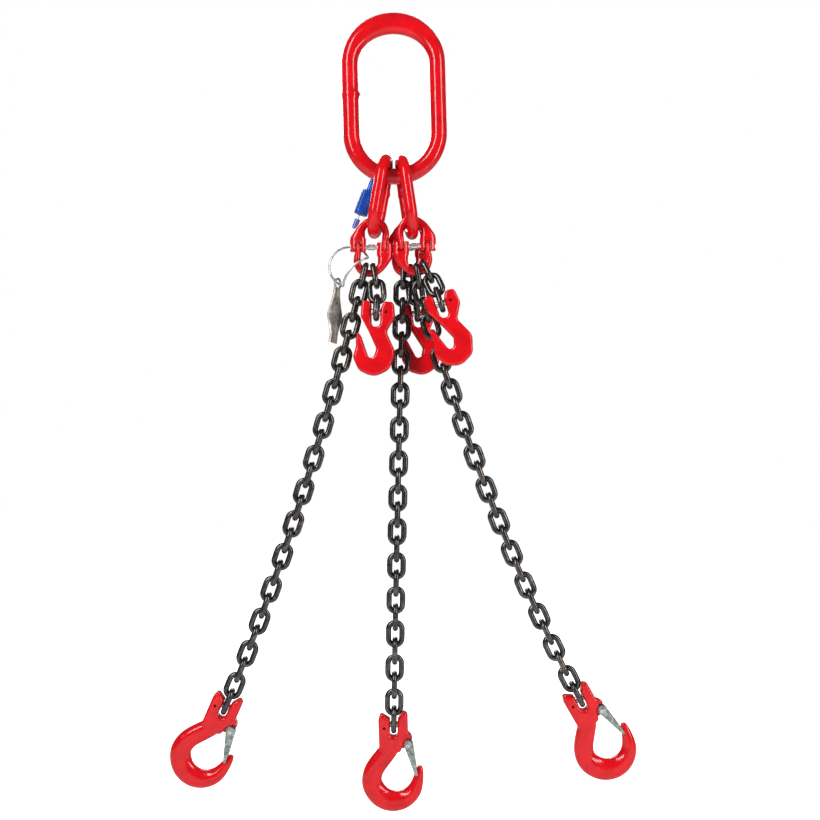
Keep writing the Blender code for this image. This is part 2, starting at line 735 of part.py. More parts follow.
def add_shortener(side, meshes, parent, crown, forward, tilts, hook_turn):
    """The short chain on a coupling and its grab hook, which hangs plumb; angles in degrees.

    forward swings the chain about X, tilts are its links' angles about Y.
    """
    angles = [math.radians(angle) for angle in tilts]
    swing = math.radians(forward)
    place = Vector(crown) - Matrix.Rotation(angles[0], 3, "Y") @ BAR_REST
    chain = joint_empty(f"joint_{side}_shortener", parent, place, (swing, angles[0], 0))
    bends = [angle - angles[0] for angle in angles]
    add_part(f"{side}_shortener_chain", chain_mesh(bends, True, BAR_REST), BLACK, chain)
    spot = pin_drop(chain_end(bends, BAR_REST), bends[-1])
    hang = (-swing, bends[-1] + math.radians(hook_turn), 0)
    hook = joint_empty(f"joint_{side}_grab_hook", chain, spot, hang)
    add_part(f"{side}_grab_hook", meshes["grab"], RED, hook)
    add_part(f"{side}_grab_load_pin", meshes["grab_pin"], STEEL, hook)


def add_coupling(side, meshes, link, middle_y, depth, turn, fork_side):
    """Both halves of a coupling; fork_side is 1 with the upper fork on the left, -1 on the right."""
    bar = Vector((0, depth, INTERMEDIATE_BOTTOM + bar_rise(depth - middle_y)))
    upper = joint_empty(f"joint_{side}_coupling_upper", link, bar, turn)
    flip = Matrix.Identity(4) if fork_side > 0 else Matrix.Rotation(math.pi, 4, "Z")
    pin_spot = Vector((-fork_side * COUPLING_CROWN_X, 0, -COUPLING_HANG))
    to_pin = Matrix.Translation(pin_spot)
    add_part(f"{side}_coupling_upper", moved(meshes["half"], to_pin @ flip), RED, upper)
    add_part(f"{side}_coupling_pin", moved(meshes["coupling_pin"], to_pin), STEEL, upper)
    add_part(f"{side}_coupling_sleeve", moved(meshes["sleeve"], to_pin), STEEL, upper)
    lower = joint_empty(f"joint_{side}_coupling_lower", upper, pin_spot)
    over = Matrix.Rotation(math.pi, 4, "Y") @ flip
    add_part(f"{side}_coupling_lower", moved(meshes["half"], over), RED, lower)
    return lower


def bar_rise(depth):
    """How far a coupling's crown lifts when it bears off the middle of the round link end."""
    reach = INTERMEDIATE_HALF_WIDTH - (INTERMEDIATE_BAR + COUPLING_BAR) / 2
    return reach - math.sqrt(reach**2 - depth**2) + COUPLING_LIFT


def seal_spot():
    """Where the seal's cable passes round the rear of the left link's top end."""
    out = INTERMEDIATE_HALF_WIDTH * math.cos(SEAL_SLOPE)
    up = INTERMEDIATE_CROWN - INTERMEDIATE_HALF_WIDTH * (1 - math.sin(SEAL_SLOPE))
    return (-out * math.sin(INTERMEDIATE_YAW), out * math.cos(INTERMEDIATE_YAW), up)


def add_intermediate(side, mesh, master, offset, middle_y, splay, yaw):
    """An oblong link over the master link's bottom bar, offset to one side of its middle."""
    bar_drop = math.sqrt(MASTER_HALF_WIDTH**2 - offset**2)
    place = (offset, 0, MASTER_BOTTOM_CENTRE - bar_drop)
    link = joint_empty(f"joint_{side}_intermediate", master, place, (0, splay - MASTER_LEAN, 0))
    centre = Matrix.Translation((0, middle_y, INTERMEDIATE_CROWN - INTERMEDIATE_HALF_LENGTH))
    shape = moved(mesh, centre @ Matrix.Rotation(SIDE + yaw, 4, "Z"))
    add_part(f"{side}_intermediate_link", shape, RED, link)
    return link


def shared_meshes():
    retaining_place = (RETAINING_X, 0, -RETAINING_DROP)
    return {
        "half": coupling_half_mesh(),
        "coupling_pin": rod(COUPLING_PIN_RADIUS, COUPLING_PIN_LENGTH, "X"),
        "sleeve": sleeve_mesh(),
        "hook": sling_hook_mesh(),
        "hook_pin": drilled_pin_mesh(HOOK_PIN_LENGTH, HOOK_PIN_MIDDLE),
        "retaining": rod(RETAINING_RADIUS, RETAINING_LENGTH, "Y", retaining_place, SMALL_SIDES),
        "latch": latch_mesh(),
        "latch_pin": rod(LATCH_PIN_RADIUS, LATCH_PIN_LENGTH, "Y", LATCH_PIVOT + HOOK_DROP),
        "spring": spring_mesh(),
        "grab": grab_hook_mesh(),
        "grab_pin": load_pin_mesh(GRAB_PIN_LENGTH, GRAB_PIN_MIDDLE),
    }


def build():
    clear_scene()
    degrees = math.radians
    meshes = shared_meshes()
    master = joint_empty("sling", None, (0, 0, 0), (0, MASTER_LEAN, 0))
    add_part("master_link", master_mesh(), RED, master)

    oblong = oblong_mesh(INTERMEDIATE_HALF_WIDTH, INTERMEDIATE_HALF_LENGTH, INTERMEDIATE_BAR, "intermediate")
    left_splay, right_splay = degrees(9.9), degrees(-8.7)
    left = add_intermediate(
        "left", oblong, master, offset=-0.0172, middle_y=0, splay=left_splay, yaw=INTERMEDIATE_YAW
    )
    right = add_intermediate(
        "right", oblong, master, offset=0.0101, middle_y=0.0020, splay=right_splay, yaw=-INTERMEDIATE_YAW
    )

    upright = (0, -left_splay, 0)
    left_lower = add_coupling("left", meshes, left, middle_y=0, depth=-0.0035, turn=upright, fork_side=1)
    upright = (0, -right_splay, 0)
    front_lower = add_coupling(
        "front", meshes, right, middle_y=0.0020, depth=-0.0074, turn=upright, fork_side=-1
    )
    rear_lower = add_coupling(
        "rear", meshes, right, middle_y=0.0020, depth=0.0114, turn=upright, fork_side=1
    )

    angles = leg_angles(middle_cot=3.16, slope=0.064, ease=0)
    leg = add_leg("left", left_lower, (-0.0076, 0, -0.0242), angles)
    add_sling_hook("left", meshes, leg, turn=degrees(3.5))
    angles = [-angle for angle in leg_angles(middle_cot=2.58, slope=0.0537, ease=6)]
    leg = add_leg("right", front_lower, (0.0020, 0, -0.0259), angles)
    add_sling_hook("right", meshes, leg, turn=0)
    angles = [degrees(1.6 - 0.03 * link) for link in range(sum(LEG_SEGMENTS))]
    leg = add_leg("centre", rear_lower, (-0.0083, 0, -0.0237), angles)
    add_sling_hook("centre", meshes, leg, turn=0)

    add_shortener(
        "left", meshes, left_lower, (0.0017, 0, -0.0247), forward=-18.5, tilts=(-11, -6, 2), hook_turn=1
    )
    add_shortener(
        "right", meshes, front_lower, (0.0105, 0, -0.0213), forward=-23, tilts=(-26, -25, -18), hook_turn=1
    )
    add_shortener(
        "rear", meshes, rear_lower, (0.0009, 0, -0.0252), forward=24, tilts=(-14, -9, -4), hook_turn=-2
    )

    loop = joint_empty("joint_tag_loop", left_lower, (0, 0, 0))
    add_part("tag_loop", tag_loop_mesh(), STEEL, loop)
    tag = joint_empty("joint_id_tag", loop, TAG_TOP, (0, TAG_LEAN, TAG_TURN))
    add_part("id_tag", moved(tag_mesh(), Matrix.Translation(TAG_HANG)), STEEL, tag)

    seal = joint_empty("joint_seal", left, seal_spot(), (SEAL_SLOPE, 0, 0))
    add_part("seal_body", moved(seal_body_mesh(), seal_hang()), BLUE, seal)
    add_part("seal_cable", seal_cable_mesh(), STEEL, seal)
    add_part("seal_ferrule", moved(seal_ferrule_mesh(), seal_hang()), BLUE, seal)


build()
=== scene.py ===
"""The looks of a three-leg lifting chain sling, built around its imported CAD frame.

Every piece takes its place from the frame's joints. Red fittings are powder-coated
forgings, the chain is oiled black steel, pins and latches are bare or plated steel.
"""

import json
import math

import bmesh
import bpy
from mathutils import Euler, Matrix, Vector, noise


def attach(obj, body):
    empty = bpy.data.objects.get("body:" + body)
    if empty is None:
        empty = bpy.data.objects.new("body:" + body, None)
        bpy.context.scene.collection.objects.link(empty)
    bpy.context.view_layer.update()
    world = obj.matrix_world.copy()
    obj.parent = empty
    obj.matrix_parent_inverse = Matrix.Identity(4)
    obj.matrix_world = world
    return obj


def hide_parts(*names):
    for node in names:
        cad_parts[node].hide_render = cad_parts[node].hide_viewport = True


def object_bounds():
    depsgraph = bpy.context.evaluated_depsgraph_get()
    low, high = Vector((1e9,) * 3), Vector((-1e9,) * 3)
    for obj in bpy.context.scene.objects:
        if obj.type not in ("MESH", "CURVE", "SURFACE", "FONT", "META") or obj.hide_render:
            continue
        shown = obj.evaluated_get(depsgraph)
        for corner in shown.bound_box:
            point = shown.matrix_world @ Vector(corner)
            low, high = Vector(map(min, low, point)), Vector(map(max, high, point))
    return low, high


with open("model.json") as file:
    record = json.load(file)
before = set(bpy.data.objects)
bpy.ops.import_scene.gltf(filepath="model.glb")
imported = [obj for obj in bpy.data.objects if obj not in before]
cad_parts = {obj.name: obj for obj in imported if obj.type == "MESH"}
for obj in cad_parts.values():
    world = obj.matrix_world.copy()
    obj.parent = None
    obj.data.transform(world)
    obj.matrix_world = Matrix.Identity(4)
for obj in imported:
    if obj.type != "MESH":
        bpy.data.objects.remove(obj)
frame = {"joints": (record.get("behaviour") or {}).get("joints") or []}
cad_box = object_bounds()

JOINT_AT = {joint["child"]: Vector(joint["pos_m"]) for joint in frame["joints"]}

CLEARANCE = 0.0003
FUSE = 0.0004
CUT = 0.080
SIDE = math.pi / 2

# Link sizes
MASTER_BAR = 0.023
MASTER_CROWN_BAR = 0.030
MASTER_CROWN_DEPTH = 0.020
MASTER_HALF_WIDTH = 0.0615
MASTER_CROWN_RISE = 0.057
MASTER_TOP_CENTRE = -0.042
MASTER_BOTTOM_CENTRE = -0.1385
MASTER_WELD_Z = -0.0835
MASTER_LEAN = math.radians(-1.5)
INTERMEDIATE_BAR = 0.016
INTERMEDIATE_HALF_WIDTH = 0.032
INTERMEDIATE_HALF_LENGTH = 0.052
INTERMEDIATE_YAW = math.radians(-5)
INTERMEDIATE_PLAY = 0.0015
INTERMEDIATE_CROWN = (MASTER_BAR + INTERMEDIATE_BAR) / 2 + CLEARANCE + INTERMEDIATE_PLAY
WIRE = 0.008
PITCH = 0.0242
LINK_HALF_WIDTH = 0.0095
LINK_HALF_LENGTH = 0.0161
LEG_SEGMENTS = (7, 7, 7, 6)
COUPLING_BAR = 0.011
BAR_REST = Vector((0, 0, (COUPLING_BAR + WIRE) / 2 + CLEARANCE))
LINK_REST = Vector((0, 0, WIRE + CLEARANCE + FUSE))

# Mesh steps and margins
ROLL_STEPS = 4
ROLL_MARGIN = 0.00001
FILLET_STEPS = 5
LEAST_FILLET = 0.0002

# How the parts hang
SPLAY = {"left": math.radians(9.9), "right": math.radians(-8.7)}
HOOK_TURN = {"left": math.radians(3.5), "right": 0, "centre": 0}


# ---------------- mesh helpers


def turned(angle):
    return Matrix.Rotation(angle, 4, "Y")


def turns(count):
    """Evenly spaced angles round a circle."""
    return [math.tau * k / count for k in range(count)]


def linked(name, data):
    obj = bpy.data.objects.new(name, data)
    bpy.context.scene.collection.objects.link(obj)
    return obj


def new_mesh(points, faces, name):
    mesh = bpy.data.meshes.new(name)
    mesh.from_pydata(points, [], faces)
    shape = bmesh.new()
    shape.from_mesh(mesh)
    bmesh.ops.recalc_face_normals(shape, faces=shape.faces)
    shape.to_mesh(mesh)
    shape.free()
    return mesh


def skin(rings, closed, name="skin"):
    """A quad skin over rings of equal length, capped when it is open."""
    sides = len(rings[0])
    points = [tuple(point) for ring in rings for point in ring]
    count = len(rings)
    faces = []
    for i in range(count if closed else count - 1):
        near, far = i * sides, (i + 1) % count * sides
        for k in range(sides):
            j = (k + 1) % sides
            faces.append((near + k, near + j, far + j, far + k))
    if not closed:
        faces.append(tuple(range(sides)))
        faces.append(tuple(range((count - 1) * sides, count * sides)))
    return new_mesh(points, faces, name)


def spline(stations, steps, closed=False):
    """Catmull-Rom stations between the given ones, every number of a station alike."""
    count = len(stations)
    last = count if closed else count - 1
    made = []
    for i in range(last):
        before = stations[i - 1] if closed or i else stations[0]
        here = stations[i]
        after = stations[(i + 1) % count]
        beyond = stations[(i + 2) % count] if closed or i + 2 < count else stations[-1]
        for k in range(steps):
            t = k / steps
            weights = (
                -0.5 * t + t**2 - 0.5 * t**3,
                1 - 2.5 * t**2 + 1.5 * t**3,
                0.5 * t + 2 * t**2 - 1.5 * t**3,
                -0.5 * t**2 + 0.5 * t**3,
            )
            rows = zip(before, here, after, beyond)
            made.append(tuple(sum(w * v for w, v in zip(weights, row)) for row in rows))
    if not closed:
        made.append(tuple(stations[-1]))
    return made


def power_cosine(angle, power):
    value = math.cos(angle)
    return math.copysign(abs(value) ** (2 / power), value)


def sweep(stations, closed, sides, power=2.0, swell=None, name="sweep"):
    """Superellipse sections along a path in XZ; a station is (x, z, width, depth).

    swell gives the share a point stands out by, from its place and its angle round the bar.
    """
    points = [Vector((s[0], 0, s[1])) for s in stations]
    count = len(points)
    rings = []
    for i, station in enumerate(stations):
        before = points[i] - points[i - 1] if closed or i else points[1] - points[0]
        after = points[(i + 1) % count] - points[i] if closed or i < count - 1 else before
        along = (before.normalized() + after.normalized()).normalized()
        side = Vector((-along.z, 0, along.x))
        ring = []
        for angle in turns(sides):
            grow = 1 + (swell(points[i], angle) if swell else 0)
            across = power_cosine(angle, power) * station[2] / 2 * grow
            depth = power_cosine(angle - SIDE, power) * station[3] / 2 * grow
            ring.append(points[i] + side * across + Vector((0, depth, 0)))
        rings.append(ring)
    return skin(rings, closed, name)


def tube(path, radius, closed, sides):
    """A round wire along any path of points."""
    points = [Vector(point) for point in path]
    count = len(points)
    side = Vector((0.31, 0.17, 0.94))
    rings = []
    for i, here in enumerate(points):
        before = points[i - 1] if closed or i else here * 2 - points[1]
        after = points[(i + 1) % count] if closed or i < count - 1 else here * 2 - before
        along = ((here - before).normalized() + (after - here).normalized()).normalized()
        side = (side - along * side.dot(along)).normalized()
        other = along.cross(side)
        rings.append([here + (side * math.cos(a) + other * math.sin(a)) * radius for a in turns(sides)])
    return skin(rings, closed, "tube")


def arc(centre_x, centre_z, radius_x, radius_z, start, end, steps):
    angles = [math.radians(start + (end - start) * k / steps) for k in range(steps + 1)]
    return [(centre_x + radius_x * math.cos(a), centre_z + radius_z * math.sin(a)) for a in angles]


def rounded(corners):
    """An outline from (x, z, radius) corners, each with a fillet of its radius."""
    outline = []
    count = len(corners)
    for i, (x, z, radius) in enumerate(corners):
        here = Vector((x, z))
        back = (Vector(corners[i - 1][:2]) - here).normalized()
        ahead = (Vector(corners[(i + 1) % count][:2]) - here).normalized()
        half = back.angle(ahead) / 2
        if radius == 0:
            outline.append((x, z))
            continue
        centre = here + (back + ahead).normalized() * (radius / math.sin(half))
        first = here + back * (radius / math.tan(half)) - centre
        last = here + ahead * (radius / math.tan(half)) - centre
        bend = first.angle_signed(last)
        for k in range(FILLET_STEPS + 1):
            outline.append(tuple(centre + Matrix.Rotation(-bend * k / FILLET_STEPS, 2) @ first))
    return outline


def inset(corners, distance):
    """Counter-clockwise (x, z, radius) corners moved inwards; convex fillets shrink."""
    count = len(corners)
    moved_in = []
    for i, (x, z, radius) in enumerate(corners):
        here = Vector((x, z))
        back = (here - Vector(corners[i - 1][:2])).normalized()
        ahead = (Vector(corners[(i + 1) % count][:2]) - here).normalized()
        along = (back + ahead).normalized()
        reach = distance / along.dot(ahead)
        convex = back.x * ahead.y - back.y * ahead.x > 0
        if radius:
            radius = max(radius - distance, LEAST_FILLET) if convex else radius + distance
        moved_in.append((x - along.y * reach, z + along.x * reach, radius))
    return moved_in


def stacked(levels):
    """A solid over levels, each an outline in XZ and its place along Y."""
    return skin([[Vector((x, y, z)) for x, z in outline] for outline, y in levels], False)


def plate(outline, thickness):
    return stacked([(outline, -thickness / 2), (outline, thickness / 2)])


def chamfered_plate(corners, thickness, chamfer):
    outline = rounded(corners)
    small = rounded(inset(corners, chamfer))
    half = thickness / 2
    return stacked([(small, -half), (outline, chamfer - half), (outline, half - chamfer), (small, half)])


def rolled_plate(corners, thickness, roll):
    """A plate whose front and back edges are rounded to the radius of roll."""
    levels = []
    for k in range(ROLL_STEPS + 1):
        lean = SIDE * k / ROLL_STEPS
        outline = rounded(inset(corners, roll * (1 - math.sin(lean)) + ROLL_MARGIN))
        levels.append((outline, roll * (1 - math.cos(lean)) - thickness / 2))
    return stacked(levels + [(outline, -y) for outline, y in reversed(levels)])


def lathe(profile, axis, sides=32):
    """(along, radius) pairs turned about X, Y or Z; the ends close in on the axis."""
    to_axis = {
        "X": Matrix.Rotation(SIDE, 4, "Y"),
        "Y": Matrix.Rotation(-SIDE, 4, "X"),
        "Z": Matrix.Identity(4),
    }[axis]
    rings = []
    for along, radius in profile:
        ring = [Vector((radius * math.cos(a), radius * math.sin(a), along)) for a in turns(sides)]
        rings.append([to_axis @ point for point in ring])
    return skin(rings, False)


def mirrored(profile):
    """A lathe profile from its low end to its middle, with the other half added."""
    return profile + [(-along, radius) for along, radius in reversed(profile)]


def rod(radius, length, axis, centre=(0, 0, 0), sides=32, edge=0.0):
    """A round bar with its end edges broken by the width of edge."""
    half = length / 2
    profile = [(-half, radius - edge), (-half + edge, radius)] if edge else [(-half, radius)]
    return moved(lathe(mirrored(profile), axis, sides), Matrix.Translation(centre))


def at(body):
    """The place of a body's joint."""
    return Matrix.Translation(JOINT_AT[body])


def moved(mesh, matrix):
    copy = mesh.copy()
    copy.transform(matrix)
    return copy


def joined(meshes):
    shape = bmesh.new()
    for mesh in meshes:
        shape.from_mesh(mesh)
    made = bpy.data.meshes.new("joined")
    shape.to_mesh(made)
    shape.free()
    return made


def applied(mesh, steps, name="worked"):
    """The mesh after modifiers, each given as (type, settings); a mesh setting becomes a tool."""
    work = linked("work", mesh)
    helpers = [work]
    for kind, settings in steps:
        modifier = work.modifiers.new(kind, kind)
        for key, value in settings.items():
            if isinstance(value, bpy.types.Mesh):
                value = linked("tool", value)
                helpers.append(value)
            setattr(modifier, key, value)
    bpy.context.view_layer.update()
    graph = bpy.context.evaluated_depsgraph_get()
    result = bpy.data.meshes.new_from_object(work.evaluated_get(graph))
    result.name = name
    for helper in helpers:
        bpy.data.objects.remove(helper, do_unlink=True)
    return result


def cut(tool):
    return ("BOOLEAN", {"operation": "DIFFERENCE", "solver": "EXACT", "object": tool})


def added(tool):
    return ("BOOLEAN", {"operation": "UNION", "solver": "EXACT", "object": tool})


def forged(shells, voxel, rounds, keep):
    """Overlapping shells melted into one skin with soft edges and fillets."""
    steps = [
        ("REMESH", {"mode": "VOXEL", "voxel_size": voxel}),
        ("SMOOTH", {"factor": 0.5, "iterations": rounds}),
        ("DECIMATE", {"ratio": keep}),
    ]
    return applied(joined(shells), steps, "forged")


def piece(name, mesh, body, finish, replaced=(), crease=35):
    """A finished piece, riding on its body and standing for the CAD nodes it replaces."""
    obj = linked(name, mesh)
    mesh.materials.clear()
    mesh.materials.append(finish)
    mesh.shade_smooth()
    mesh.set_sharp_from_angle(angle=math.radians(crease))
    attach(obj, body)
    if replaced:
        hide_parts(*replaced)
    return obj


# ---------------- materials


class Nodes:
    """Short calls for building one material's node tree."""

    def __init__(self, name):
        self.material = bpy.data.materials.new(name)
        self.material.use_nodes = True
        self.tree = self.material.node_tree
        self.shader = self.tree.nodes["Principled BSDF"]
        self.place = self.add("ShaderNodeTexCoord").outputs["Object"]

    def add(self, kind, inputs=(), **settings):
        """A node with its settings made, then its inputs fed by name."""
        node = self.tree.nodes.new(kind)
        for key, value in settings.items():
            setattr(node, key, value)
        for key, value in dict(inputs).items():
            self.feed(node.inputs[key], value)
        return node

    def feed(self, socket, value):
        if isinstance(value, bpy.types.NodeSocket):
            self.tree.links.new(value, socket)
        else:
            socket.default_value = value

    def noise(self, scale, detail=4.0, rough=0.55, stretch=None):
        place = self.place
        if stretch:
            place = self.add("ShaderNodeMapping", {"Vector": place, "Scale": stretch}).outputs["Vector"]
        inputs = {"Vector": place, "Scale": scale, "Detail": detail, "Roughness": rough}
        return self.add("ShaderNodeTexNoise", inputs).outputs["Fac"]

    def spangle(self, scale, output="Color"):
        return self.add("ShaderNodeTexVoronoi", {"Vector": self.place, "Scale": scale}).outputs[output]

    def ramp(self, value, *stops):
        node = self.add("ShaderNodeValToRGB", {"Fac": value})
        elements = node.color_ramp.elements
        for element, (spot, colour) in zip(elements, (stops[0], stops[-1])):
            element.position = spot
            element.color = colour
        for spot, colour in stops[1:-1]:
            elements.new(spot).color = colour
        return node.outputs["Color"]

    def range(self, value, low, high, to_low, to_high):
        inputs = {"Value": value, "From Min": low, "From Max": high, "To Min": to_low, "To Max": to_high}
        return self.add("ShaderNodeMapRange", inputs).outputs["Result"]

    def cloudy(self, scale, detail, low, high):
        """A noise's middle spread between two values."""
        return self.range(self.noise(scale, detail), 0.3, 0.7, low, high)

    def mix(self, share, first, second, blend="MIX"):
        inputs = {"Factor": share, "A": first, "B": second}
        node = self.add("ShaderNodeMix", inputs, data_type="RGBA", blend_type=blend)
        return next(out for out in node.outputs if out.type == "RGBA")

    def math(self, operation, first, second):
        node = self.add("ShaderNodeMath", operation=operation)
        self.feed(node.inputs[0], first)
        self.feed(node.inputs[1], second)
        return node.outputs[0]

    def attribute(self, name):
        return self.add("ShaderNodeAttribute", attribute_name=name).outputs["Fac"]

    def bump(self, height, distance, strength=1.0, normal=None):
        inputs = {"Height": height, "Distance": distance, "Strength": strength}
        if normal:
            inputs["Normal"] = normal
        return self.add("ShaderNodeBump", inputs).outputs["Normal"]

    def finish(self, **sockets):
        for key, value in sockets.items():
            self.feed(self.shader.inputs[key.replace("_", " ")], value)
        return self.material


def grey(value):
    return (value, value, value, 1)


def red_coat(name, lumps):
    """Powder coat: orange peel over the forging's own lumps, thin and worn to steel where links bear."""
    made = Nodes(name)
    shade = made.noise(55, 3)
    colour = made.ramp(shade, (0.3, (0.56, 0.002, 0.006, 1)), (0.72, (0.76, 0.003, 0.009, 1)))
    speck = made.ramp(made.noise(900, 2), (0.66, grey(0)), (0.72, grey(1)))
    colour = made.mix(made.math("MULTIPLY", speck, 0.35), colour, (0.30, 0.002, 0.006, 1))
    edge = made.math("ADD", made.attribute("wear"), made.cloudy(420, 6, -0.35, 0.35))
    bare = made.ramp(edge, (0.72, grey(0)), (0.84, grey(1)))
    colour = made.mix(bare, colour, (0.42, 0.30, 0.28, 1))
    rough = made.cloudy(140, 4, 0.11, 0.20)
    rough = made.math("ADD", rough, made.math("MULTIPLY", bare, 0.15))
    forged_lumps = made.bump(made.noise(95, 3), lumps)
    peel = made.bump(made.noise(750, 2), 0.00010, 0.8, forged_lumps)
    return made.finish(
        Base_Color=colour,
        Roughness=rough,
        Metallic=made.math("MULTIPLY", bare, 0.9),
        Normal=peel,
        Specular_IOR_Level=0.28,
        Coat_Weight=made.range(bare, 0.0, 1.0, 0.35, 0.0),
        Coat_Roughness=0.07,
    )


def black_chain():
    """Oiled black scale: near black, brown where the oil is thin, with bright sharp highlights."""
    made = Nodes("oiled_chain")
    patch = made.noise(120, 5, 0.6)
    colour = made.ramp(
        patch,
        (0.34, (0.030, 0.030, 0.034, 1)),
        (0.55, (0.070, 0.066, 0.064, 1)),
        (0.75, (0.230, 0.165, 0.125, 1)),
    )
    rubbed = made.math("ADD", made.attribute("wear"), made.cloudy(600, 4, -0.3, 0.3))
    bare = made.ramp(rubbed, (0.62, grey(0)), (0.80, grey(1)))
    colour = made.mix(bare, colour, (0.22, 0.20, 0.19, 1))
    rough = made.cloudy(260, 5, 0.20, 0.34)
    scale_bump = made.bump(made.noise(260, 3), 0.00008)
    return made.finish(
        Base_Color=colour,
        Roughness=rough,
        Metallic=0.92,
        Normal=made.bump(made.noise(1500, 2), 0.00002, 0.7, scale_bump),
        Coat_Weight=0.6,
        Coat_Roughness=0.12,
    )


def plated_steel(name, tint, low, high, grain):
    """Bare or plated steel, or steel painted near black as shade in the hole it sits in: fine draw marks,
    cloudy roughness.
    """
    made = Nodes(name)
    cloud = made.noise(160, 4)
    dark = tuple(channel * 0.72 for channel in tint[:3]) + (1,)
    fine = made.bump(made.noise(900, 3, stretch=(0.25, 1, 1)), grain)
    return made.finish(
        Base_Color=made.ramp(cloud, (0.3, dark), (0.7, tint)),
        Roughness=made.cloudy(300, 4, low, high),
        Metallic=0.8,
        Normal=fine,
    )


def galvanised():
    """Hot-dip spangle: crystals of differing grey, dulled in blotches."""
    made = Nodes("galvanised_sheet")
    crystal = made.spangle(420)
    colour = made.ramp(
        crystal,
        (0.1, (0.20, 0.23, 0.21, 1)),
        (0.5, (0.36, 0.40, 0.37, 1)),
        (0.9, (0.62, 0.66, 0.62, 1)),
    )
    blotch = made.ramp(made.noise(170, 5, 0.65), (0.42, grey(1)), (0.62, (0.55, 0.60, 0.58, 1)))
    return made.finish(
        Base_Color=made.mix(0.8, colour, blotch, "MULTIPLY"),
        Roughness=made.range(made.spangle(420, "Distance"), 0.0, 0.6, 0.24, 0.5),
        Metallic=0.75,
        Normal=made.bump(made.noise(500, 4), 0.00010),
    )


def tag_metal():
    """Dull stamped plate, stained brown and brushed down its length."""
    made = Nodes("tag_plate")
    stain = made.noise(60, 5, 0.6)
    colour = made.ramp(
        stain,
        (0.30, (0.26, 0.23, 0.20, 1)),
        (0.52, (0.50, 0.46, 0.42, 1)),
        (0.70, (0.86, 0.84, 0.81, 1)),
    )
    brushed = made.bump(made.noise(700, 3, stretch=(1, 1, 0.08)), 0.00006)
    return made.finish(
        Base_Color=colour,
        Roughness=made.cloudy(240, 4, 0.22, 0.40),
        Metallic=0.6,
        Normal=brushed,
    )


def anodised(name, deep, bright):
    """Coloured anodising: turning marks and faint clouding under a clear coat."""
    made = Nodes(name)
    colour = made.ramp(made.noise(90, 4), (0.3, deep), (0.7, bright))
    lines = made.bump(made.noise(650, 2, stretch=(0.15, 0.15, 1)), 0.00005)
    return made.finish(
        Base_Color=colour,
        Roughness=made.cloudy(400, 3, 0.20, 0.34),
        Metallic=0.35,
        Normal=lines,
        Coat_Weight=0.4,
        Coat_Roughness=0.12,
    )


RED = red_coat("red_coat", 0.00035)
RED_FORGED = red_coat("red_coat_forged", 0.00070)
BLACK = black_chain()
ZINC = plated_steel("zinc_plate", (0.78, 0.78, 0.76, 1), 0.16, 0.34, 0.00003)
WIRE_STEEL = plated_steel("bright_wire", (0.62, 0.61, 0.60, 1), 0.22, 0.34, 0.000008)
# Spring pins: their near-black colour is painted shade, standing for the dark retaining holes they sit in.
PIN_HOLE_SHADE = plated_steel("spring_pin", (0.05, 0.045, 0.04, 1), 0.30, 0.5, 0.00003)
SHEET = galvanised()
TAG = tag_metal()
BLUE = anodised("seal_blue", (0.004, 0.060, 0.40, 1), (0.010, 0.130, 0.66, 1))
LILAC = anodised("ferrule_lilac", (0.10, 0.13, 0.48, 1), (0.18, 0.22, 0.66, 1))


def wear(mesh, spots):
    """Writes how near each point is to a bearing spot, given as (centre, radius)."""
    layer = mesh.attributes.new("wear", "FLOAT", "POINT")
    for vertex in mesh.vertices:
        near = [1 - (vertex.co - Vector(centre)).length / radius for centre, radius in spots]
        layer.data[vertex.index].value = max(0.0, *near)
    return mesh


# ---------------- links


def weld_swell(centre, reach, height, towards, seed):
    """A weld's collar: a ragged bulge round a bar, highest on one side."""

    def swell(point, angle):
        distance = (point - centre).length
        if distance > reach * 3:
            return 0
        collar = math.exp(-((distance / reach) ** 2))
        facing = 0.35 + 0.65 * max(0.0, math.cos(angle - towards)) ** 2
        ragged = noise.noise(Vector((point.z * 260, math.cos(angle) * 2.1, math.sin(angle) * 2.1 + seed)))
        return height * collar * facing * (1 + 0.9 * ragged)

    return swell


def straight(start, end, steps):
    """Points between start and end, without either of them."""
    spans = [k / steps for k in range(1, steps)]
    return [(start[0] + (end[0] - start[0]) * t, start[1] + (end[1] - start[1]) * t) for t in spans]


def oblong(half_width, half_length, crown_steps, side_steps):
    """A link's middle line: two half circles joined by straight sides."""
    shift = half_length - half_width
    path = arc(0, shift, half_width, half_width, 0, 180, crown_steps)
    path += straight((-half_width, shift), (-half_width, -shift), side_steps)
    path += arc(0, -shift, half_width, half_width, 180, 360, crown_steps)
    return path + straight((half_width, -shift), (half_width, shift), side_steps)


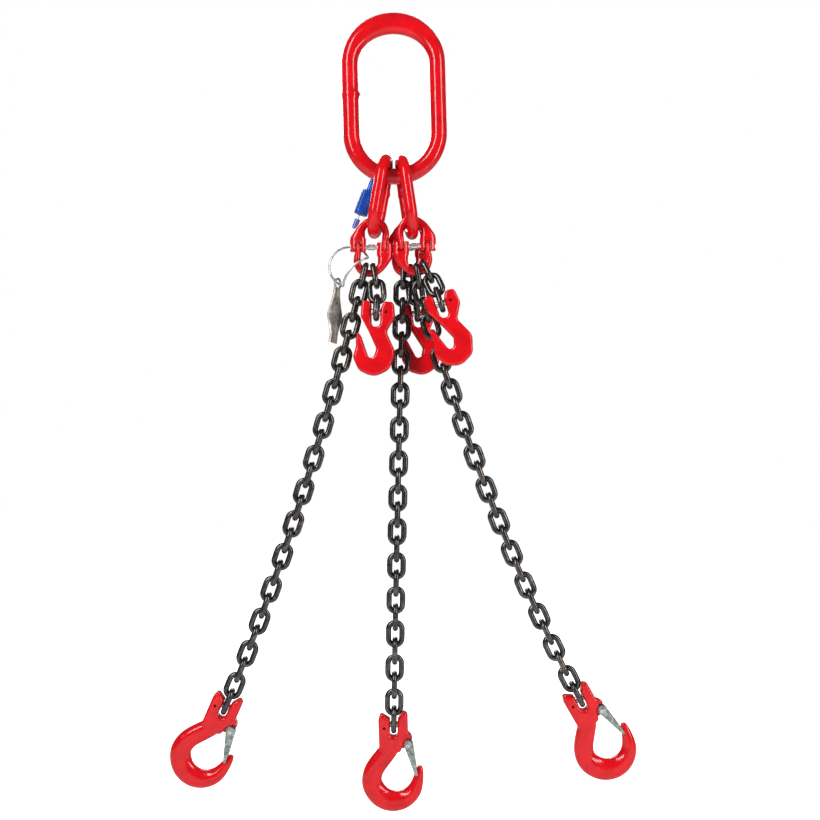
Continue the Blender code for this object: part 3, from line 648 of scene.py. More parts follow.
def add_master():
    stations = []
    steps = 48
    top = arc(0, MASTER_TOP_CENTRE, MASTER_HALF_WIDTH, MASTER_CROWN_RISE, 0, 180, steps)
    for k, (x, z) in enumerate(top):
        share = math.sin(math.pi * k / steps) ** 2
        width = MASTER_BAR + (MASTER_CROWN_BAR - MASTER_BAR) * share
        depth = MASTER_BAR + (MASTER_CROWN_DEPTH - MASTER_BAR) * share
        stations.append((x, z, width, depth))
    half = MASTER_HALF_WIDTH
    path = straight((-half, MASTER_TOP_CENTRE), (-half, MASTER_BOTTOM_CENTRE), 60)
    path += arc(0, MASTER_BOTTOM_CENTRE, half, half, 180, 360, steps)
    path += straight((half, MASTER_BOTTOM_CENTRE), (half, MASTER_TOP_CENTRE), 20)
    stations += [(x, z, MASTER_BAR, MASTER_BAR) for x, z in path]
    weld = Vector((-half, 0, MASTER_WELD_Z))
    bead = weld_swell(weld, 0.0042, 0.16, 0.0, 3.0)
    rough = weld_swell(weld, 0.0200, 0.016, math.pi, 9.0)

    def swell(point, angle):
        grain = noise.noise(Vector((point.z * 700, math.cos(angle) * 6, math.sin(angle) * 6)))
        return bead(point, angle) + rough(point, angle) * (1 + 2.5 * grain)

    mesh = sweep(stations, True, 40, swell=swell, name="master")
    bottom = MASTER_BOTTOM_CENTRE - half + MASTER_BAR / 2
    wear(mesh, [((-0.0172, 0, bottom), 0.010), ((0.0101, 0, bottom), 0.010), ((0, 0, 0), 0.005)])
    mesh.transform(turned(MASTER_LEAN))
    piece("master_link_forging", mesh, "master", RED, ["master_link"])


def add_intermediate(side, middle_y, yaw):
    path = oblong(INTERMEDIATE_HALF_WIDTH, INTERMEDIATE_HALF_LENGTH, 36, 30)
    weld = Vector((INTERMEDIATE_HALF_WIDTH, 0, 0.010))
    collar = weld_swell(weld, 0.0040, 0.17, math.pi + 0.9, 5.0 + middle_y)
    stations = [(x, z, INTERMEDIATE_BAR, INTERMEDIATE_BAR) for x, z in path]
    mesh = sweep(stations, True, 32, swell=collar, name="intermediate")
    inner = INTERMEDIATE_HALF_LENGTH - INTERMEDIATE_BAR / 2
    wear(mesh, [((0, 0, inner), 0.008), ((0, 0, -inner), 0.008)])
    centre = Matrix.Translation((0, middle_y, INTERMEDIATE_CROWN - INTERMEDIATE_HALF_LENGTH))
    mesh.transform(centre @ Matrix.Rotation(SIDE + yaw, 4, "Z"))
    body = f"{side}_intermediate"
    mesh.transform(at(body) @ turned(SPLAY[side]))
    piece(f"{side}_sub_link", mesh, body, RED, [f"{side}_intermediate_link"])


def link_mesh():
    """One chain link in XZ: round crowns, straight sides and a dressed weld on one side."""
    end = LINK_HALF_LENGTH - 0.00008
    collar = weld_swell(Vector((LINK_HALF_WIDTH, 0, 0)), 0.0016, 0.055, math.pi, 2.0)
    stations = [(x, z, WIRE, WIRE) for x, z in oblong(LINK_HALF_WIDTH, end, 16, 8)]
    mesh = sweep(stations, True, 18, swell=collar, name="link")
    inner = end - WIRE / 2
    return wear(mesh, [((0, 0, inner), 0.0050), ((0, 0, -inner), 0.0050)])


LINK = link_mesh()


def add_run(name, body, node, base, bends, first_edge_on, rest):
    """A run of links in its body's own axes, each at its own angle about Y."""
    links = []
    spot = rest
    for k, angle in enumerate(bends):
        edge_on = (k % 2 == 0) == first_edge_on
        flip = math.pi * (k // 2 % 2)
        across = Matrix.Rotation((SIDE if edge_on else 0) + flip, 4, "Z")
        hang = Matrix.Translation(spot) @ turned(angle) @ Matrix.Translation((0, 0, -LINK_HALF_LENGTH))
        links.append(moved(LINK, base @ hang @ across))
        spot = spot + turned(angle) @ Vector((0, 0, -PITCH))
    piece(name, joined(links), body, BLACK, [node])


def leg_angles(middle_cot, slope, ease):
    """Every link's angle about Y on a leg drawn sideways, as the CAD's legs hang."""
    count = sum(LEG_SEGMENTS)
    middle = count // 2 + 1
    full = [math.atan(1 / (middle_cot - slope * (link - middle))) for link in range(count)]
    return [angle - math.radians(ease) * 0.6**link for link, angle in enumerate(full)]


LEG_ANGLES = {
    "left": leg_angles(3.16, 0.064, 0),
    "right": [-angle for angle in leg_angles(2.58, 0.0537, 6)],
    "centre": [math.radians(1.6 - 0.03 * link) for link in range(sum(LEG_SEGMENTS))],
}


def add_leg(side):
    angles = LEG_ANGLES[side]
    first = 0
    rest = BAR_REST
    for number, count in enumerate(LEG_SEGMENTS, 1):
        body = f"{side}_leg_{number}"
        run = angles[first : first + count]
        base = at(body) @ turned(run[0])
        bends = [angle - run[0] for angle in run]
        name = f"{side}_leg_links_{number}"
        add_run(name, body, f"{side}_leg_chain_{number}", base, bends, first % 2 == 0, rest)
        first += count
        rest = LINK_REST


# ---------------- couplings

EAR_CENTRE = 0.0187
SLOT_WIDTH = 0.0090
SLOT_TOP = 0.0076
COUPLING_PIN_RADIUS = 0.0032
COUPLING_PIN_LENGTH = 0.057
SLOT_FILLET = 0.0012
FORGED_VOXEL = 0.0007
FLASH = 0.0007
FLASH_DEPTH = 0.0011
FLASH_END = 0.0240
COUPLING_STATIONS = (
    (EAR_CENTRE, -0.0067, 0.0070, 0.0050),
    (EAR_CENTRE, -0.0050, 0.0082, 0.0100),
    (EAR_CENTRE, -0.0015, 0.0082, 0.0130),
    (EAR_CENTRE, 0.0076, 0.0082, 0.0130),
    (0.0196, 0.0125, 0.0092, 0.0118),
    (0.0200, 0.0205, 0.0094, 0.0106),
    (0.0162, 0.0300, 0.0108, 0.0094),
    (0.0090, 0.0353, 0.0106, 0.0092),
    (-0.0015, 0.0363, 0.0106, 0.0092),
    (-0.0095, 0.0317, 0.0111, 0.0094),
    (-0.0145, 0.0255, 0.0130, 0.0112),
    (-0.0172, 0.0185, 0.0170, 0.0125),
    (-EAR_CENTRE, 0.0115, 0.0219, 0.0130),
    (-EAR_CENTRE, -0.0030, 0.0219, 0.0130),
    (-EAR_CENTRE, -0.0066, 0.0219, 0.0090),
)


def coupling_half():
    """A forged half: a single ear, a bowed crown and a fork, with a flash line on its sides."""
    stations = spline(COUPLING_STATIONS, 5)
    body = sweep(stations, False, 24, power=2.1)
    ridge = [
        (x, z, width + (FLASH if z < FLASH_END else -FLASH), FLASH_DEPTH)
        for x, z, width, _ in stations[3:-3]
    ]
    flash = sweep(ridge, False, 8)
    melted = forged([body, flash], 0.0005, 3, 0.45)
    outer, inner = -EAR_CENTRE - SLOT_WIDTH / 2, -EAR_CENTRE + SLOT_WIDTH / 2
    mouth = [(outer, -CUT, 0), (inner, -CUT, 0)]
    slot = rounded(mouth + [(inner, SLOT_TOP, SLOT_FILLET), (outer, SLOT_TOP, SLOT_FILLET)])
    bore = rod(COUPLING_PIN_RADIUS + CLEARANCE, CUT * 2, "X")
    half = applied(melted, [cut(plate(slot, CUT)), cut(bore)], "coupling_half")
    return wear(half, [((-0.0015, 0, 0.0307), 0.006)])


def coupling_pin():
    """A drive pin with a waist at its middle and broken ends."""
    half, full, waist = COUPLING_PIN_LENGTH / 2, COUPLING_PIN_RADIUS, COUPLING_PIN_RADIUS - 0.0005
    profile = [
        (-half, 0.0008),
        (-half + 0.0004, full - 0.0010),
        (-half + 0.0012, full),
        (-0.0050, full),
        (-0.0035, waist),
    ]
    return lathe(mirrored(profile), "X")


def coupling_sleeve():
    """A bushing with broken rims and a drilled bore."""
    body = rod(0.0044, 0.010, "X", edge=0.0006)
    return applied(body, [cut(rod(COUPLING_PIN_RADIUS + CLEARANCE, CUT, "X"))], "sleeve")


def add_coupling(side, meshes, fork_side):
    pin_at = at(f"{side}_coupling_lower")
    flip = Matrix.Identity(4) if fork_side > 0 else Matrix.Rotation(math.pi, 4, "Z")
    over = turned(math.pi) @ flip
    upper, lower = f"{side}_coupling_upper", f"{side}_coupling_lower"
    for name, body, mesh, place, finish, slot in (
        (upper, upper, "half", pin_at @ flip, RED_FORGED, "powder_red"),
        (lower, lower, "half", pin_at @ over, RED_FORGED, "powder_red"),
        (f"{side}_coupling_pin", upper, "pin", pin_at, ZINC, "plated_steel"),
        (f"{side}_coupling_sleeve", upper, "sleeve", pin_at, ZINC, "plated_steel"),
    ):
        piece(f"{name}_finished", moved(meshes[mesh], place), body, finish, [name])


# ---------------- clevis hooks

CLEVIS_PIN_RADIUS = 0.0045
RETAINING_RADIUS = 0.0018
RETAINING_X = -0.0135
RETAINING_DROP = 0.0040
HOOK_DROP = Vector((0, 0, -RETAINING_DROP))
SLING_HOOK_STATIONS = (
    (-0.0010, -0.0240, 0.0250, 0.0200),
    (-0.0089, -0.0354, 0.0262, 0.0196),
    (-0.0252, -0.0577, 0.0272, 0.0190),
    (-0.0299, -0.0735, 0.0282, 0.0195),
    (-0.0269, -0.0859, 0.0298, 0.0200),
    (-0.0184, -0.0969, 0.0302, 0.0205),
    (-0.0086, -0.1026, 0.0296, 0.0205),
    (0.0024, -0.1045, 0.0286, 0.0205),
    (0.0134, -0.1026, 0.0263, 0.0200),
    (0.0232, -0.0969, 0.0236, 0.0192),
    (0.0304, -0.0883, 0.0208, 0.0178),
    (0.0345, -0.0775, 0.0170, 0.0156),
    (0.0373, -0.0631, 0.0118, 0.0120),
    (0.0380, -0.0545, 0.0065, 0.0075),
)
SLING_EARS = (
    (-0.0053, 0.0120, 0.0012),
    (-0.0190, 0.0198, 0.0035),
    (-0.0222, 0.0110, 0.0040),
    (-0.0212, -0.0100, 0.0040),
    (-0.0202, -0.0300, 0.0040),
    (-0.0080, -0.0400, 0.0040),
    (0.0099, -0.0333, 0.0020),
    (0.0140, -0.0250, 0.0020),
    (0.0150, -0.0190, 0.0030),
    (0.0215, -0.0130, 0.0020),
    (0.0280, -0.0160, 0.0008),
    (0.0240, -0.0090, 0.0030),
    (0.0205, -0.0060, 0.0030),
    (0.0195, 0.0190, 0.0035),
    (0.0130, 0.0235, 0.0030),
    (0.0053, 0.0120, 0.0012),
    (0.0053, -0.0124, 0.0050),
    (-0.0053, -0.0124, 0.0050),
)
SLING_EAR_THICKNESS = 0.0203
SLING_EAR_ROLL = 0.0036
PAD_AT = (-0.0165, 0, -0.0475)
PAD_TURN = math.radians(35)
PAD_HALF_WIDTH = 0.0048
PAD_HALF_LENGTH = 0.0105
PAD_THICKNESS = 0.0188
HOOK_PIN_LENGTH = 0.040
HOOK_PIN_X = -0.0006
SPRING_PIN_LENGTH = 0.0150
LATCH_PIVOT = Vector((0.0206, 0, -0.0240))
LATCH_PIN_RADIUS = 0.0020
LATCH_LUG = 0.0060
LATCH_OUTER = 0.0190
LATCH_INNER = 0.0160
LATCH_ROOM = 0.0088
LATCH_FORK = -0.0285
GRAB_THICKNESS = 0.0154
GRAB_PIN_LENGTH = 0.042
GRAB_PIN_X = 0.0010
GRAB_SPRING_PIN_X = 0.0142
GRAB_SPRING_PIN_LENGTH = 0.0110
GRAB_DIMPLE_RADIUS = 0.0042
GRAB_DIMPLE_DEPTH = 0.0030
GRAB_DIMPLE_Y = 0.0086
GRAB_OUTLINE = (
    (-0.0074, 0.0120, 0.0030),
    (-0.0110, 0.0150, 0.0030),
    (-0.0210, 0.0150, 0.0050),
    (-0.0213, -0.0070, 0.0040),
    (-0.0095, -0.0270, 0.0000),
    (0.0024, -0.0510, 0.0060),
    (-0.0020, -0.0650, 0.0050),
    (-0.0090, -0.0620, 0.0040),
    (-0.0196, -0.0350, 0.0100),
    (-0.0240, -0.0285, 0.0016),
    (-0.0270, -0.0350, 0.0060),
    (-0.0262, -0.0480, 0.0060),
    (-0.0300, -0.0640, 0.0120),
    (-0.0210, -0.0820, 0.0140),
    (0.0000, -0.0910, 0.0220),
    (0.0215, -0.0790, 0.0160),
    (0.0285, -0.0540, 0.0140),
    (0.0150, -0.0270, 0.0080),
    (0.0265, -0.0060, 0.0100),
    (0.0235, 0.0150, 0.0060),
    (0.0105, 0.0150, 0.0050),
    (0.0062, 0.0050, 0.0040),
    (0.0060, -0.0200, 0.0055),
    (-0.0060, -0.0200, 0.0055),
)


def bowl_section(stations):
    """Forged sections: a rounded back, flat flanks and a slimmer lip towards the bowl."""
    count = len(stations)
    points = [Vector((s[0], 0, s[1])) for s in stations]
    sides = 40
    rings = []
    for i, (_, _, width, depth) in enumerate(stations):
        before = points[max(i - 1, 0)]
        after = points[min(i + 1, count - 1)]
        along = (after - before).normalized()
        side = Vector((-along.z, 0, along.x))
        lip = min(1.0, max(0.0, (i / count - 0.14) * 6)) * min(1.0, (1 - i / count) * 4)
        ring = []
        for angle in turns(sides):
            across = power_cosine(angle, 2.5)
            lean = 1 - 0.30 * lip * max(0.0, across) ** 1.5
            ridge = 0.030 * lip * math.exp(-(((across - 0.42) / 0.10) ** 2))
            deep = power_cosine(angle - SIDE, 2.5) * (lean + ridge)
            ring.append(points[i] + side * (across * width / 2) + Vector((0, deep * depth / 2, 0)))
        rings.append(ring)
    return skin(rings, False)


def sling_hook():
    """The forging about its retaining pin, lowered to hang from its load pin."""
    shank = bowl_section(spline(SLING_HOOK_STATIONS, 6))
    ears = rolled_plate(SLING_EARS, SLING_EAR_THICKNESS, SLING_EAR_ROLL)
    signs = ((-1, -1), (1, -1), (1, 1), (-1, 1))
    pad_outline = rounded([(x * PAD_HALF_WIDTH, z * PAD_HALF_LENGTH, 0.0030) for x, z in signs])
    pad = moved(plate(pad_outline, PAD_THICKNESS), Matrix.Translation(PAD_AT) @ turned(PAD_TURN))
    melted = forged([shank, ears, pad], FORGED_VOXEL, 9, 0.5)
    pivot_x, _, pivot_z = LATCH_PIVOT
    lug_root = [(0.0060, -0.0140, 0), (0.0060, -0.0300, 0)]
    lug_tip = [(pivot_x + 0.0010, pivot_z - 0.0042, 0.0025), (pivot_x + 0.0045, pivot_z + 0.0030, 0.0030)]
    room = plate(arc(pivot_x, pivot_z, LATCH_ROOM, LATCH_ROOM, 0, 350, 35), LATCH_OUTER + 4 * CLEARANCE)
    load_bore = rod(CLEVIS_PIN_RADIUS + CLEARANCE, CUT * 2, "X", (0, 0, RETAINING_DROP))
    steps = [
        cut(room),
        added(plate(rounded(lug_root + lug_tip), LATCH_LUG)),
        cut(rod(LATCH_PIN_RADIUS + CLEARANCE, CUT, "Y", LATCH_PIVOT)),
        cut(load_bore),
        cut(rod(RETAINING_RADIUS + CLEARANCE, CUT, "Y", (RETAINING_X, 0, 0))),
    ]
    hook = applied(melted, steps, "sling_hook")
    wear(hook, [((0, 0, -0.0124), 0.0075), ((0.0, 0, -0.0907), 0.007), ((0.0380, 0, -0.0560), 0.003)])
    hook.transform(Matrix.Translation(HOOK_DROP))
    return hook


def grab_hook():
    """A forged plate hook with a parallel slot; dimples mark where the chain seats."""
    melted = forged([rolled_plate(GRAB_OUTLINE, GRAB_THICKNESS, 0.0038)], FORGED_VOXEL, 5, 0.5)
    steps = [
        cut(rod(CLEVIS_PIN_RADIUS + CLEARANCE, CUT * 2, "X")),
        cut(rod(RETAINING_RADIUS + 0.0002, CUT, "Y", (GRAB_SPRING_PIN_X, 0, 0))),
    ]
    for y in (-GRAB_DIMPLE_Y, GRAB_DIMPLE_Y):
        dimple_at = (-0.0085, y, -0.0690)
        steps.append(cut(rod(GRAB_DIMPLE_RADIUS, GRAB_DIMPLE_DEPTH, "Y", dimple_at, edge=0.0012)))
    hook = applied(melted, steps, "grab_hook")
    wear(hook, [((0, 0, -0.0200), 0.0055)])
    return hook


def spring_pin(length, centre):
    return rod(RETAINING_RADIUS, length, "Y", centre, edge=0.0004)


def load_pin(length, middle):
    """A clevis pin with broken edges and a centre mark in both ends."""
    half, full = length / 2, CLEVIS_PIN_RADIUS
    profile = [
        (-half + 0.0008, 0.0006),
        (-half, 0.0014),
        (-half, full - 0.0012),
        (-half + 0.0004, full - 0.0005),
        (-half + 0.0012, full),
    ]
    return moved(lathe(mirrored(profile), "X"), Matrix.Translation((middle, 0, 0)))


def latch_mesh():
    """A pressed sheet channel with a rolled top, its cheeks reaching past the hook tip."""
    top = (
        (-0.0062, 0.0008, 0.0030),
        (-0.0040, 0.0064, 0.0028),
        (0.0040, 0.0070, 0.0032),
        (0.0072, 0.0006, 0.0030),
    )
    tip = ((0.0144, -0.0424, 0.0010), (0.0108, -0.0432, 0.0010))
    outline = (top + tip)[::-1]
    reach = 0.0600
    pocket = (
        (-reach, reach),
        (0.0033, reach),
        (0.0051, 0.0010),
        (0.0101, LATCH_FORK),
        (reach, LATCH_FORK),
        (reach, -reach),
        (-reach, -reach),
    )
    press_top = [(0.0012, -0.0085, 0.0008), (0.0062, -0.0085, 0.0010)]
    press = rounded(press_top + [(0.0102, -0.0300, 0.0008), (0.0088, -0.0300, 0.0006)])
    steps = [
        cut(plate(pocket, LATCH_INNER)),
        cut(rod(LATCH_PIN_RADIUS + CLEARANCE, CUT, "Y")),
    ]
    body = chamfered_plate(outline, LATCH_OUTER, 0.0011)
    for side in (-1, 1):
        groove = moved(plate(press, 0.0006), Matrix.Translation((0, side * (LATCH_OUTER / 2 - 0.0001), 0)))
        steps.append(cut(groove))
    return applied(body, steps, "latch")


def rivet_mesh():
    """The latch's tubular rivet: rolled rims with a hollow in each end."""
    half, cup, rim = 0.0103, 0.0013, 0.0034
    profile = [
        (-half + 0.0016, 0.0003),
        (-half + 0.0016, cup),
        (-half + 0.0002, cup + 0.0003),
        (-half, cup + 0.0008),
        (-half + 0.0003, rim - 0.0003),
        (-half + 0.0007, rim),
        (-LATCH_OUTER / 2, rim),
        (-LATCH_OUTER / 2, LATCH_PIN_RADIUS),
    ]
    return moved(lathe(mirrored(profile), "Y"), Matrix.Translation(LATCH_PIVOT + HOOK_DROP))


def spring_mesh():
    """A torsion coil beside the lug."""
    radius, wire, windings, steps, rise = 0.0034, 0.0010, 2.5, 60, -0.0013
    start = -LATCH_LUG / 2 - 0.0011
    path = []
    for k in range(steps + 1):
        angle = math.tau * windings * k / steps
        path.append((radius * math.cos(angle), start + rise * windings * k / steps, radius * math.sin(angle)))
    return tube(path, wire / 2, False, 10)


def add_sling_hook(side, meshes):
    hook, latch = f"{side}_sling_hook", f"{side}_latch"
    facing = turned(LEG_ANGLES[side][-1] + HOOK_TURN[side])
    for name, mesh, body, node, finish, slot in (
        ("hook_forging", "hook", hook, "sling_hook", RED_FORGED, "powder_red"),
        ("hook_clevis_pin", "hook_pin", hook, "hook_load_pin", ZINC, "plated_steel"),
        # The spring pin's near-black colour is painted shade for its retaining hole.
        ("hook_spring_pin", "spring_pin", hook, "hook_retaining_pin", PIN_HOLE_SHADE, "plated_steel"),
        ("latch_rivet", "rivet", hook, "latch_pin", ZINC, "plated_steel"),
        ("latch_sheet", "latch", latch, "latch", SHEET, "galvanised_sheet"),
        ("latch_coil", "spring", latch, "latch_spring", WIRE_STEEL, "plated_steel"),
    ):
        shape = moved(meshes[mesh], at(body) @ facing)
        piece(f"{side}_{name}", shape, body, finish, [f"{side}_{node}"])


def add_shortener(side, meshes, forward, tilts, hook_turn):
    """A short run of links and the grab hook on its end; angles in degrees."""
    angles = [math.radians(angle) for angle in tilts]
    swing = math.radians(forward)
    chain = f"{side}_shortener"
    rotation = Euler((swing, angles[0], 0)).to_matrix().to_4x4()
    bends = [angle - angles[0] for angle in angles]
    base = at(chain) @ rotation
    add_run(f"{side}_short_links", chain, f"{side}_shortener_chain", base, bends, True, BAR_REST)
    body = f"{side}_grab_hook"
    hang = Euler((-swing, bends[-1] + math.radians(hook_turn), 0)).to_matrix().to_4x4()
    place = at(body) @ rotation @ hang
    piece(f"{side}_grab_forging", moved(meshes["grab"], place), body, RED_FORGED, [body])
    clevis = moved(meshes["grab_pin"], place)
    piece(f"{side}_grab_clevis_pin", clevis, body, ZINC, [f"{side}_grab_load_pin"])
    retaining = moved(meshes["grab_spring_pin"], place)
    # The spring pin's near-black colour is painted shade for its retaining hole.
    piece(f"{side}_grab_spring_pin", retaining, body, PIN_HOLE_SHADE)


# ---------------- tag and seal

LOOP_CENTRE = (-0.0302, -0.0274)
LOOP_RADIUS = 0.0288
LOOP_WIRE = 0.0031
LOOP_START = -110
LOOP_END = -240
LOOP_STEPS = 8
LOOP_END_DEPTH = 0.0065
LOOP_BACK = (
    (-0.0352, 0.0085, 0.0010),
    (-0.0227, 0.0095, 0.0004),
    (-0.0117, 0.0093, -0.0053),
    (-0.0066, 0.0062, -0.0109),
    (-0.0052, 0.0005, -0.0146),
    (-0.0085, -0.0050, -0.0165),
    (-0.0150, -0.0092, -0.0200),
    (-0.0240, -0.0096, -0.0265),
    (-0.0330, -0.0072, -0.0370),
    (-0.0385, -0.0035, -0.0480),
)
EYE_Z = 0.0020
EYE_RING = 0.0064
EYE_WIRE = 0.0026
TAG_THICKNESS = 0.0016
TAG_COLUMNS = 20
TAG_ROWS = (
    (0.0060, 0.0030),
    (0.0070, -0.0040),
    (0.0084, -0.0150),
    (0.0135, -0.0300),
    (0.0182, -0.0425),
    (0.0172, -0.0480),
    (0.0115, -0.0610),
    (0.0088, -0.0710),
    (0.0090, -0.0760),
    (0.0095, -0.0820),
)
TAG_TURN = math.radians(60)
TAG_LEAN = math.radians(7)
TAG_HANG = Vector((0, 0, -0.0025))
SEAL_SLOPE = math.radians(35)
SEAL_NECK = Vector((-0.0188, 0.0013, -0.0152))
SEAL_LEAN = math.radians(10)
SEAL_LOOP = 0.0103
SEAL_STRAND = 0.00145
SEAL_CABLE = 0.0024
BARREL_RADIUS = 0.0100
BARREL_LENGTH = 0.036
BARREL_Z = -0.034
SEAL_NECK_PROFILE = (
    (0.0008, 0.0026),
    (0.0010, 0.0036),
    (0.0004, 0.0042),
    (-0.0150, 0.0042),
    (-0.0162, 0.0052),
    (-0.0175, 0.0056),
)
FERRULE_RADIUS = 0.0042
CRIMPED_RADIUS = 0.0039


def add_tag():
    left = arc(*LOOP_CENTRE, LOOP_RADIUS, LOOP_RADIUS, LOOP_START, LOOP_END, LOOP_STEPS)
    front = [(x, LOOP_END_DEPTH * (k / LOOP_STEPS) ** 2, z) for k, (x, z) in enumerate(left)]
    path = spline(front + list(LOOP_BACK), 7, closed=True)
    loop = tube(path, LOOP_WIRE / 2, True, 14)
    loop.transform(at("tag_loop"))
    piece("tag_wire_loop", loop, "tag_loop", WIRE_STEEL, ["tag_loop"])

    place = at("id_tag") @ Euler((0, TAG_LEAN, TAG_TURN)).to_matrix().to_4x4()
    place = place @ Matrix.Translation(TAG_HANG)
    piece("id_tag_plate", moved(tag_mesh(), place), "id_tag", TAG, ["id_tag"])
    rim = [(EYE_RING * math.cos(turn), 0, EYE_Z + EYE_RING * math.sin(turn)) for turn in turns(40)]
    eyelet = moved(tube(rim, EYE_WIRE / 2, True, 12), place)
    piece("id_tag_eyelet", eyelet, "id_tag", WIRE_STEEL)


def tag_mesh():
    """A folded sheet from half widths: narrow eye, broad middle, narrow waist, flared foot."""
    rows = spline(TAG_ROWS, 5)
    points = []
    for half, z in rows:
        for k in range(TAG_COLUMNS + 1):
            across = 2 * k / TAG_COLUMNS - 1
            fold = 0.0013 * math.cos(across * 2.4) ** 2
            rim = 0.0007 * max(0.0, abs(across) - 0.86) / 0.14
            foot = 0.0012 * max(0.0, (-0.0755 - z) / 0.0070)
            points.append((across * half, fold + rim + foot, z))
    faces = []
    for i in range(len(rows) - 1):
        for k in range(TAG_COLUMNS):
            a = i * (TAG_COLUMNS + 1) + k
            faces.append((a, a + 1, a + TAG_COLUMNS + 2, a + TAG_COLUMNS + 1))
    thicken = ("SOLIDIFY", {"thickness": TAG_THICKNESS, "offset": 0.0})
    body = applied(new_mesh(points, faces, "tag"), [thicken])
    ring = rod(0.0087, 0.0020, "Y", (0, 0, EYE_Z), edge=0.0004)
    hole = rod(0.0060, CUT, "Y", (0, 0, EYE_Z))
    return applied(body, [added(ring), cut(hole)], "tag_body")


def strands(path, radius, count, lay):
    """A laid cable: round strands twisted about a path."""
    points = [Vector(point) for point in path]
    length = 0.0
    side = Vector((0.31, 0.17, 0.94))
    lines = [[] for _ in range(count)]
    for i, here in enumerate(points):
        before = points[max(i - 1, 0)]
        after = points[min(i + 1, len(points) - 1)]
        along = (after - before).normalized()
        side = (side - along * side.dot(along)).normalized()
        other = along.cross(side)
        if i:
            length += (here - before).length
        for k, line in enumerate(lines):
            angle = math.tau * (k / count + length / lay)
            line.append(here + (side * math.cos(angle) + other * math.sin(angle)) * radius * 0.62)
    return joined([tube(line, radius * 0.40, False, 8) for line in lines])


def ferrule_profile():
    """(along, radius) pairs of a sleeve with three pressed grooves."""
    profile = [(-0.0735, 0.0020), (-0.0735, 0.0036), (-0.0729, FERRULE_RADIUS)]
    groove = mirrored([(-0.0012, FERRULE_RADIUS), (-0.0006, CRIMPED_RADIUS)])
    for middle in (-0.0705, -0.0665, -0.0625):
        profile += [(middle + offset, radius) for offset, radius in groove]
    return profile + [(-0.0601, FERRULE_RADIUS), (-0.0595, 0.0036), (-0.0595, 0.0016)]


def add_seal():
    upright = Matrix.Rotation(-SEAL_SLOPE, 4, "X") @ Matrix.Rotation(SEAL_LEAN, 4, "Y")
    hang = Matrix.Translation(SEAL_NECK) @ upright
    tilt = Matrix.Rotation(SEAL_SLOPE, 4, "X")
    place = at("seal") @ turned(SPLAY["left"]) @ tilt
    barrel = rod(BARREL_RADIUS, BARREL_LENGTH, "Z", (0, 0, BARREL_Z), sides=6)
    barrel = applied(barrel, [("BEVEL", {"width": 0.0007, "segments": 3, "limit_method": "ANGLE"})])
    neck = lathe(SEAL_NECK_PROFILE, "Z")
    bore = rod(0.0030, CUT * 2, "Z")
    body = applied(barrel, [added(neck), cut(bore)], "seal")
    piece("seal_barrel", moved(body, place @ hang), "seal", BLUE, ["seal_body"], crease=25)
    up = [hang @ Vector((-SEAL_STRAND, 0, z)) for z in (-0.0660, -0.0480, -0.0320, -0.0150, 0.0010)]
    down = [hang @ Vector((SEAL_STRAND, 0, z)) for z in (0.0010, -0.0070, -0.0150)]
    loop = [Vector((x, y, 0)) for x, y in arc(0, 0, SEAL_LOOP, SEAL_LOOP, 205, 495, 11)]
    path = spline([tuple(point) for point in up + loop + down], 8)
    core = tube(path, SEAL_CABLE * 0.28, False, 8)
    rope = joined([strands(path, SEAL_CABLE / 2, 6, 0.012), core])
    piece("seal_wire_rope", moved(rope, place), "seal", WIRE_STEEL, ["seal_cable"])
    ferrule = moved(lathe(ferrule_profile(), "Z"), Matrix.Translation((-SEAL_STRAND, 0, 0)))
    piece("seal_end_ferrule", moved(ferrule, place @ hang), "seal", LILAC, ["seal_ferrule"])


# ---------------- the sling


def add_sling():
    add_master()
    add_intermediate("left", 0.0, INTERMEDIATE_YAW)
    add_intermediate("right", 0.0020, -INTERMEDIATE_YAW)
    couplings = {"half": coupling_half(), "pin": coupling_pin(), "sleeve": coupling_sleeve()}
    for side, fork_side in (("left", 1), ("front", -1), ("rear", 1)):
        add_coupling(side, couplings, fork_side)
    for side in LEG_ANGLES:
        add_leg(side)
    meshes = {
        "hook": sling_hook(),
        "hook_pin": load_pin(HOOK_PIN_LENGTH, HOOK_PIN_X),
        "spring_pin": spring_pin(SPRING_PIN_LENGTH, (RETAINING_X, 0, -RETAINING_DROP)),
        "latch": latch_mesh(),
        "rivet": rivet_mesh(),
        "spring": spring_mesh(),
        "grab": grab_hook(),
        "grab_pin": load_pin(GRAB_PIN_LENGTH, GRAB_PIN_X),
        "grab_spring_pin": spring_pin(GRAB_SPRING_PIN_LENGTH, (GRAB_SPRING_PIN_X, 0, 0)),
    }
    for side in LEG_ANGLES:
        add_sling_hook(side, meshes)
    add_shortener("left", meshes, -18.5, (-11, -6, 2), 1)
    add_shortener("right", meshes, -23, (-26, -25, -18), 1)
    add_shortener("rear", meshes, 24, (-14, -9, -4), -2)
    add_tag()
    add_seal()


add_sling()


# ---------------- studio


FLOOR_RADIUS = 4.0
FLOOR_GAP = 0.045
FLOOR_GLOW = 0.98


def add_floor():
    """A plain pale disc, seen as white as the backdrop, that bounces the studio's light."""
    shape = bmesh.new()
    bmesh.ops.create_circle(shape, cap_ends=True, segments=96, radius=FLOOR_RADIUS)
    mesh = bpy.data.meshes.new("floor")
    shape.to_mesh(mesh)
    shape.free()
    floor = linked("floor", mesh)
    floor.location = (0, 0, cad_box[0][2] - FLOOR_GAP)
    made = Nodes("floor")
    seen = made.add("ShaderNodeLightPath").outputs["Is Camera Ray"]
    material = made.finish(
        Base_Color=grey(0.93),
        Roughness=0.9,
        Specular_IOR_Level=0.1,
        Emission_Color=grey(1),
        Emission_Strength=made.range(seen, 0, 1, 0, FLOOR_GLOW),
    )
    mesh.materials.append(material)


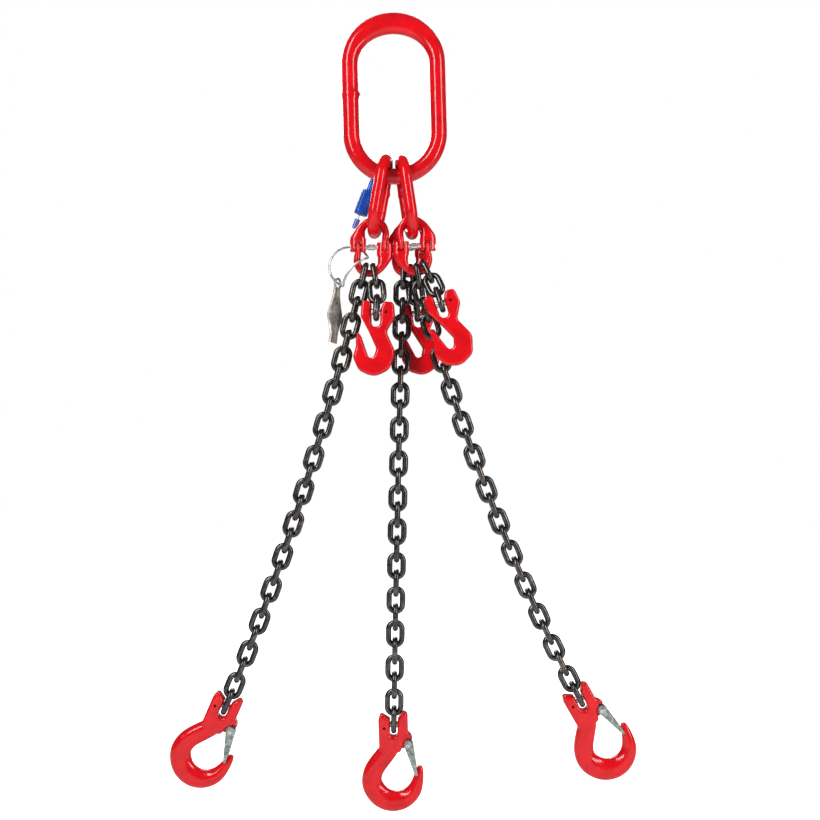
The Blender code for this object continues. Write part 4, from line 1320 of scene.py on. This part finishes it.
LIGHT_AIM = Vector((0, 0, -0.55))
LIGHTS = (
    ("key", (-1.2, -1.5, 0.5), (0.42, 1.7), 34),
    ("fill", (1.5, -1.1, -0.1), (0.40, 1.6), 21),
    ("rim", (-0.4, 1.6, 0.5), (1.4, 0.6), 20),
)


def add_light(name, place, size, power):
    data = bpy.data.lights.new(name, "AREA")
    data.shape = "RECTANGLE"
    data.size, data.size_y = size
    data.energy = power
    light = linked(name, data)
    light.location = place
    light.rotation_euler = (LIGHT_AIM - Vector(place)).to_track_quat("-Z", "Y").to_euler()


WORLD_SOFT = 0.25
WORLD_MIRRORED = 0.13
WORLD_SEEN = 1.0


def add_world():
    """White to the camera, dim to reflections, so that dark metal keeps its contrast."""
    world = bpy.data.worlds.new("studio")
    bpy.context.scene.world = world
    world.use_nodes = True
    tree = world.node_tree
    background = tree.nodes["Background"]
    path = tree.nodes.new("ShaderNodeLightPath")
    mirrored_or_soft = tree.nodes.new("ShaderNodeMix")
    mirrored_or_soft.inputs["A"].default_value = WORLD_SOFT
    mirrored_or_soft.inputs["B"].default_value = WORLD_MIRRORED
    tree.links.new(path.outputs["Is Glossy Ray"], mirrored_or_soft.inputs["Factor"])
    strength = tree.nodes.new("ShaderNodeMix")
    strength.inputs["B"].default_value = WORLD_SEEN
    tree.links.new(mirrored_or_soft.outputs["Result"], strength.inputs["A"])
    tree.links.new(path.outputs["Is Camera Ray"], strength.inputs["Factor"])
    tree.links.new(strength.outputs["Result"], background.inputs["Strength"])
    background.inputs["Color"].default_value = grey(1)


CAMERA_LENS = 51.54
CAMERA_AT = (0.0246, -1.650, -0.5284)


def add_camera():
    data = bpy.data.cameras.new("camera")
    data.lens = CAMERA_LENS
    data.clip_end = 20
    camera = linked("camera", data)
    camera.location = CAMERA_AT
    camera.rotation_euler = (SIDE, 0, 0)
    bpy.context.scene.camera = camera


add_floor()
add_world()
for light in LIGHTS:
    add_light(*light)
add_camera()
bpy.context.scene.view_settings.view_transform = "Standard"
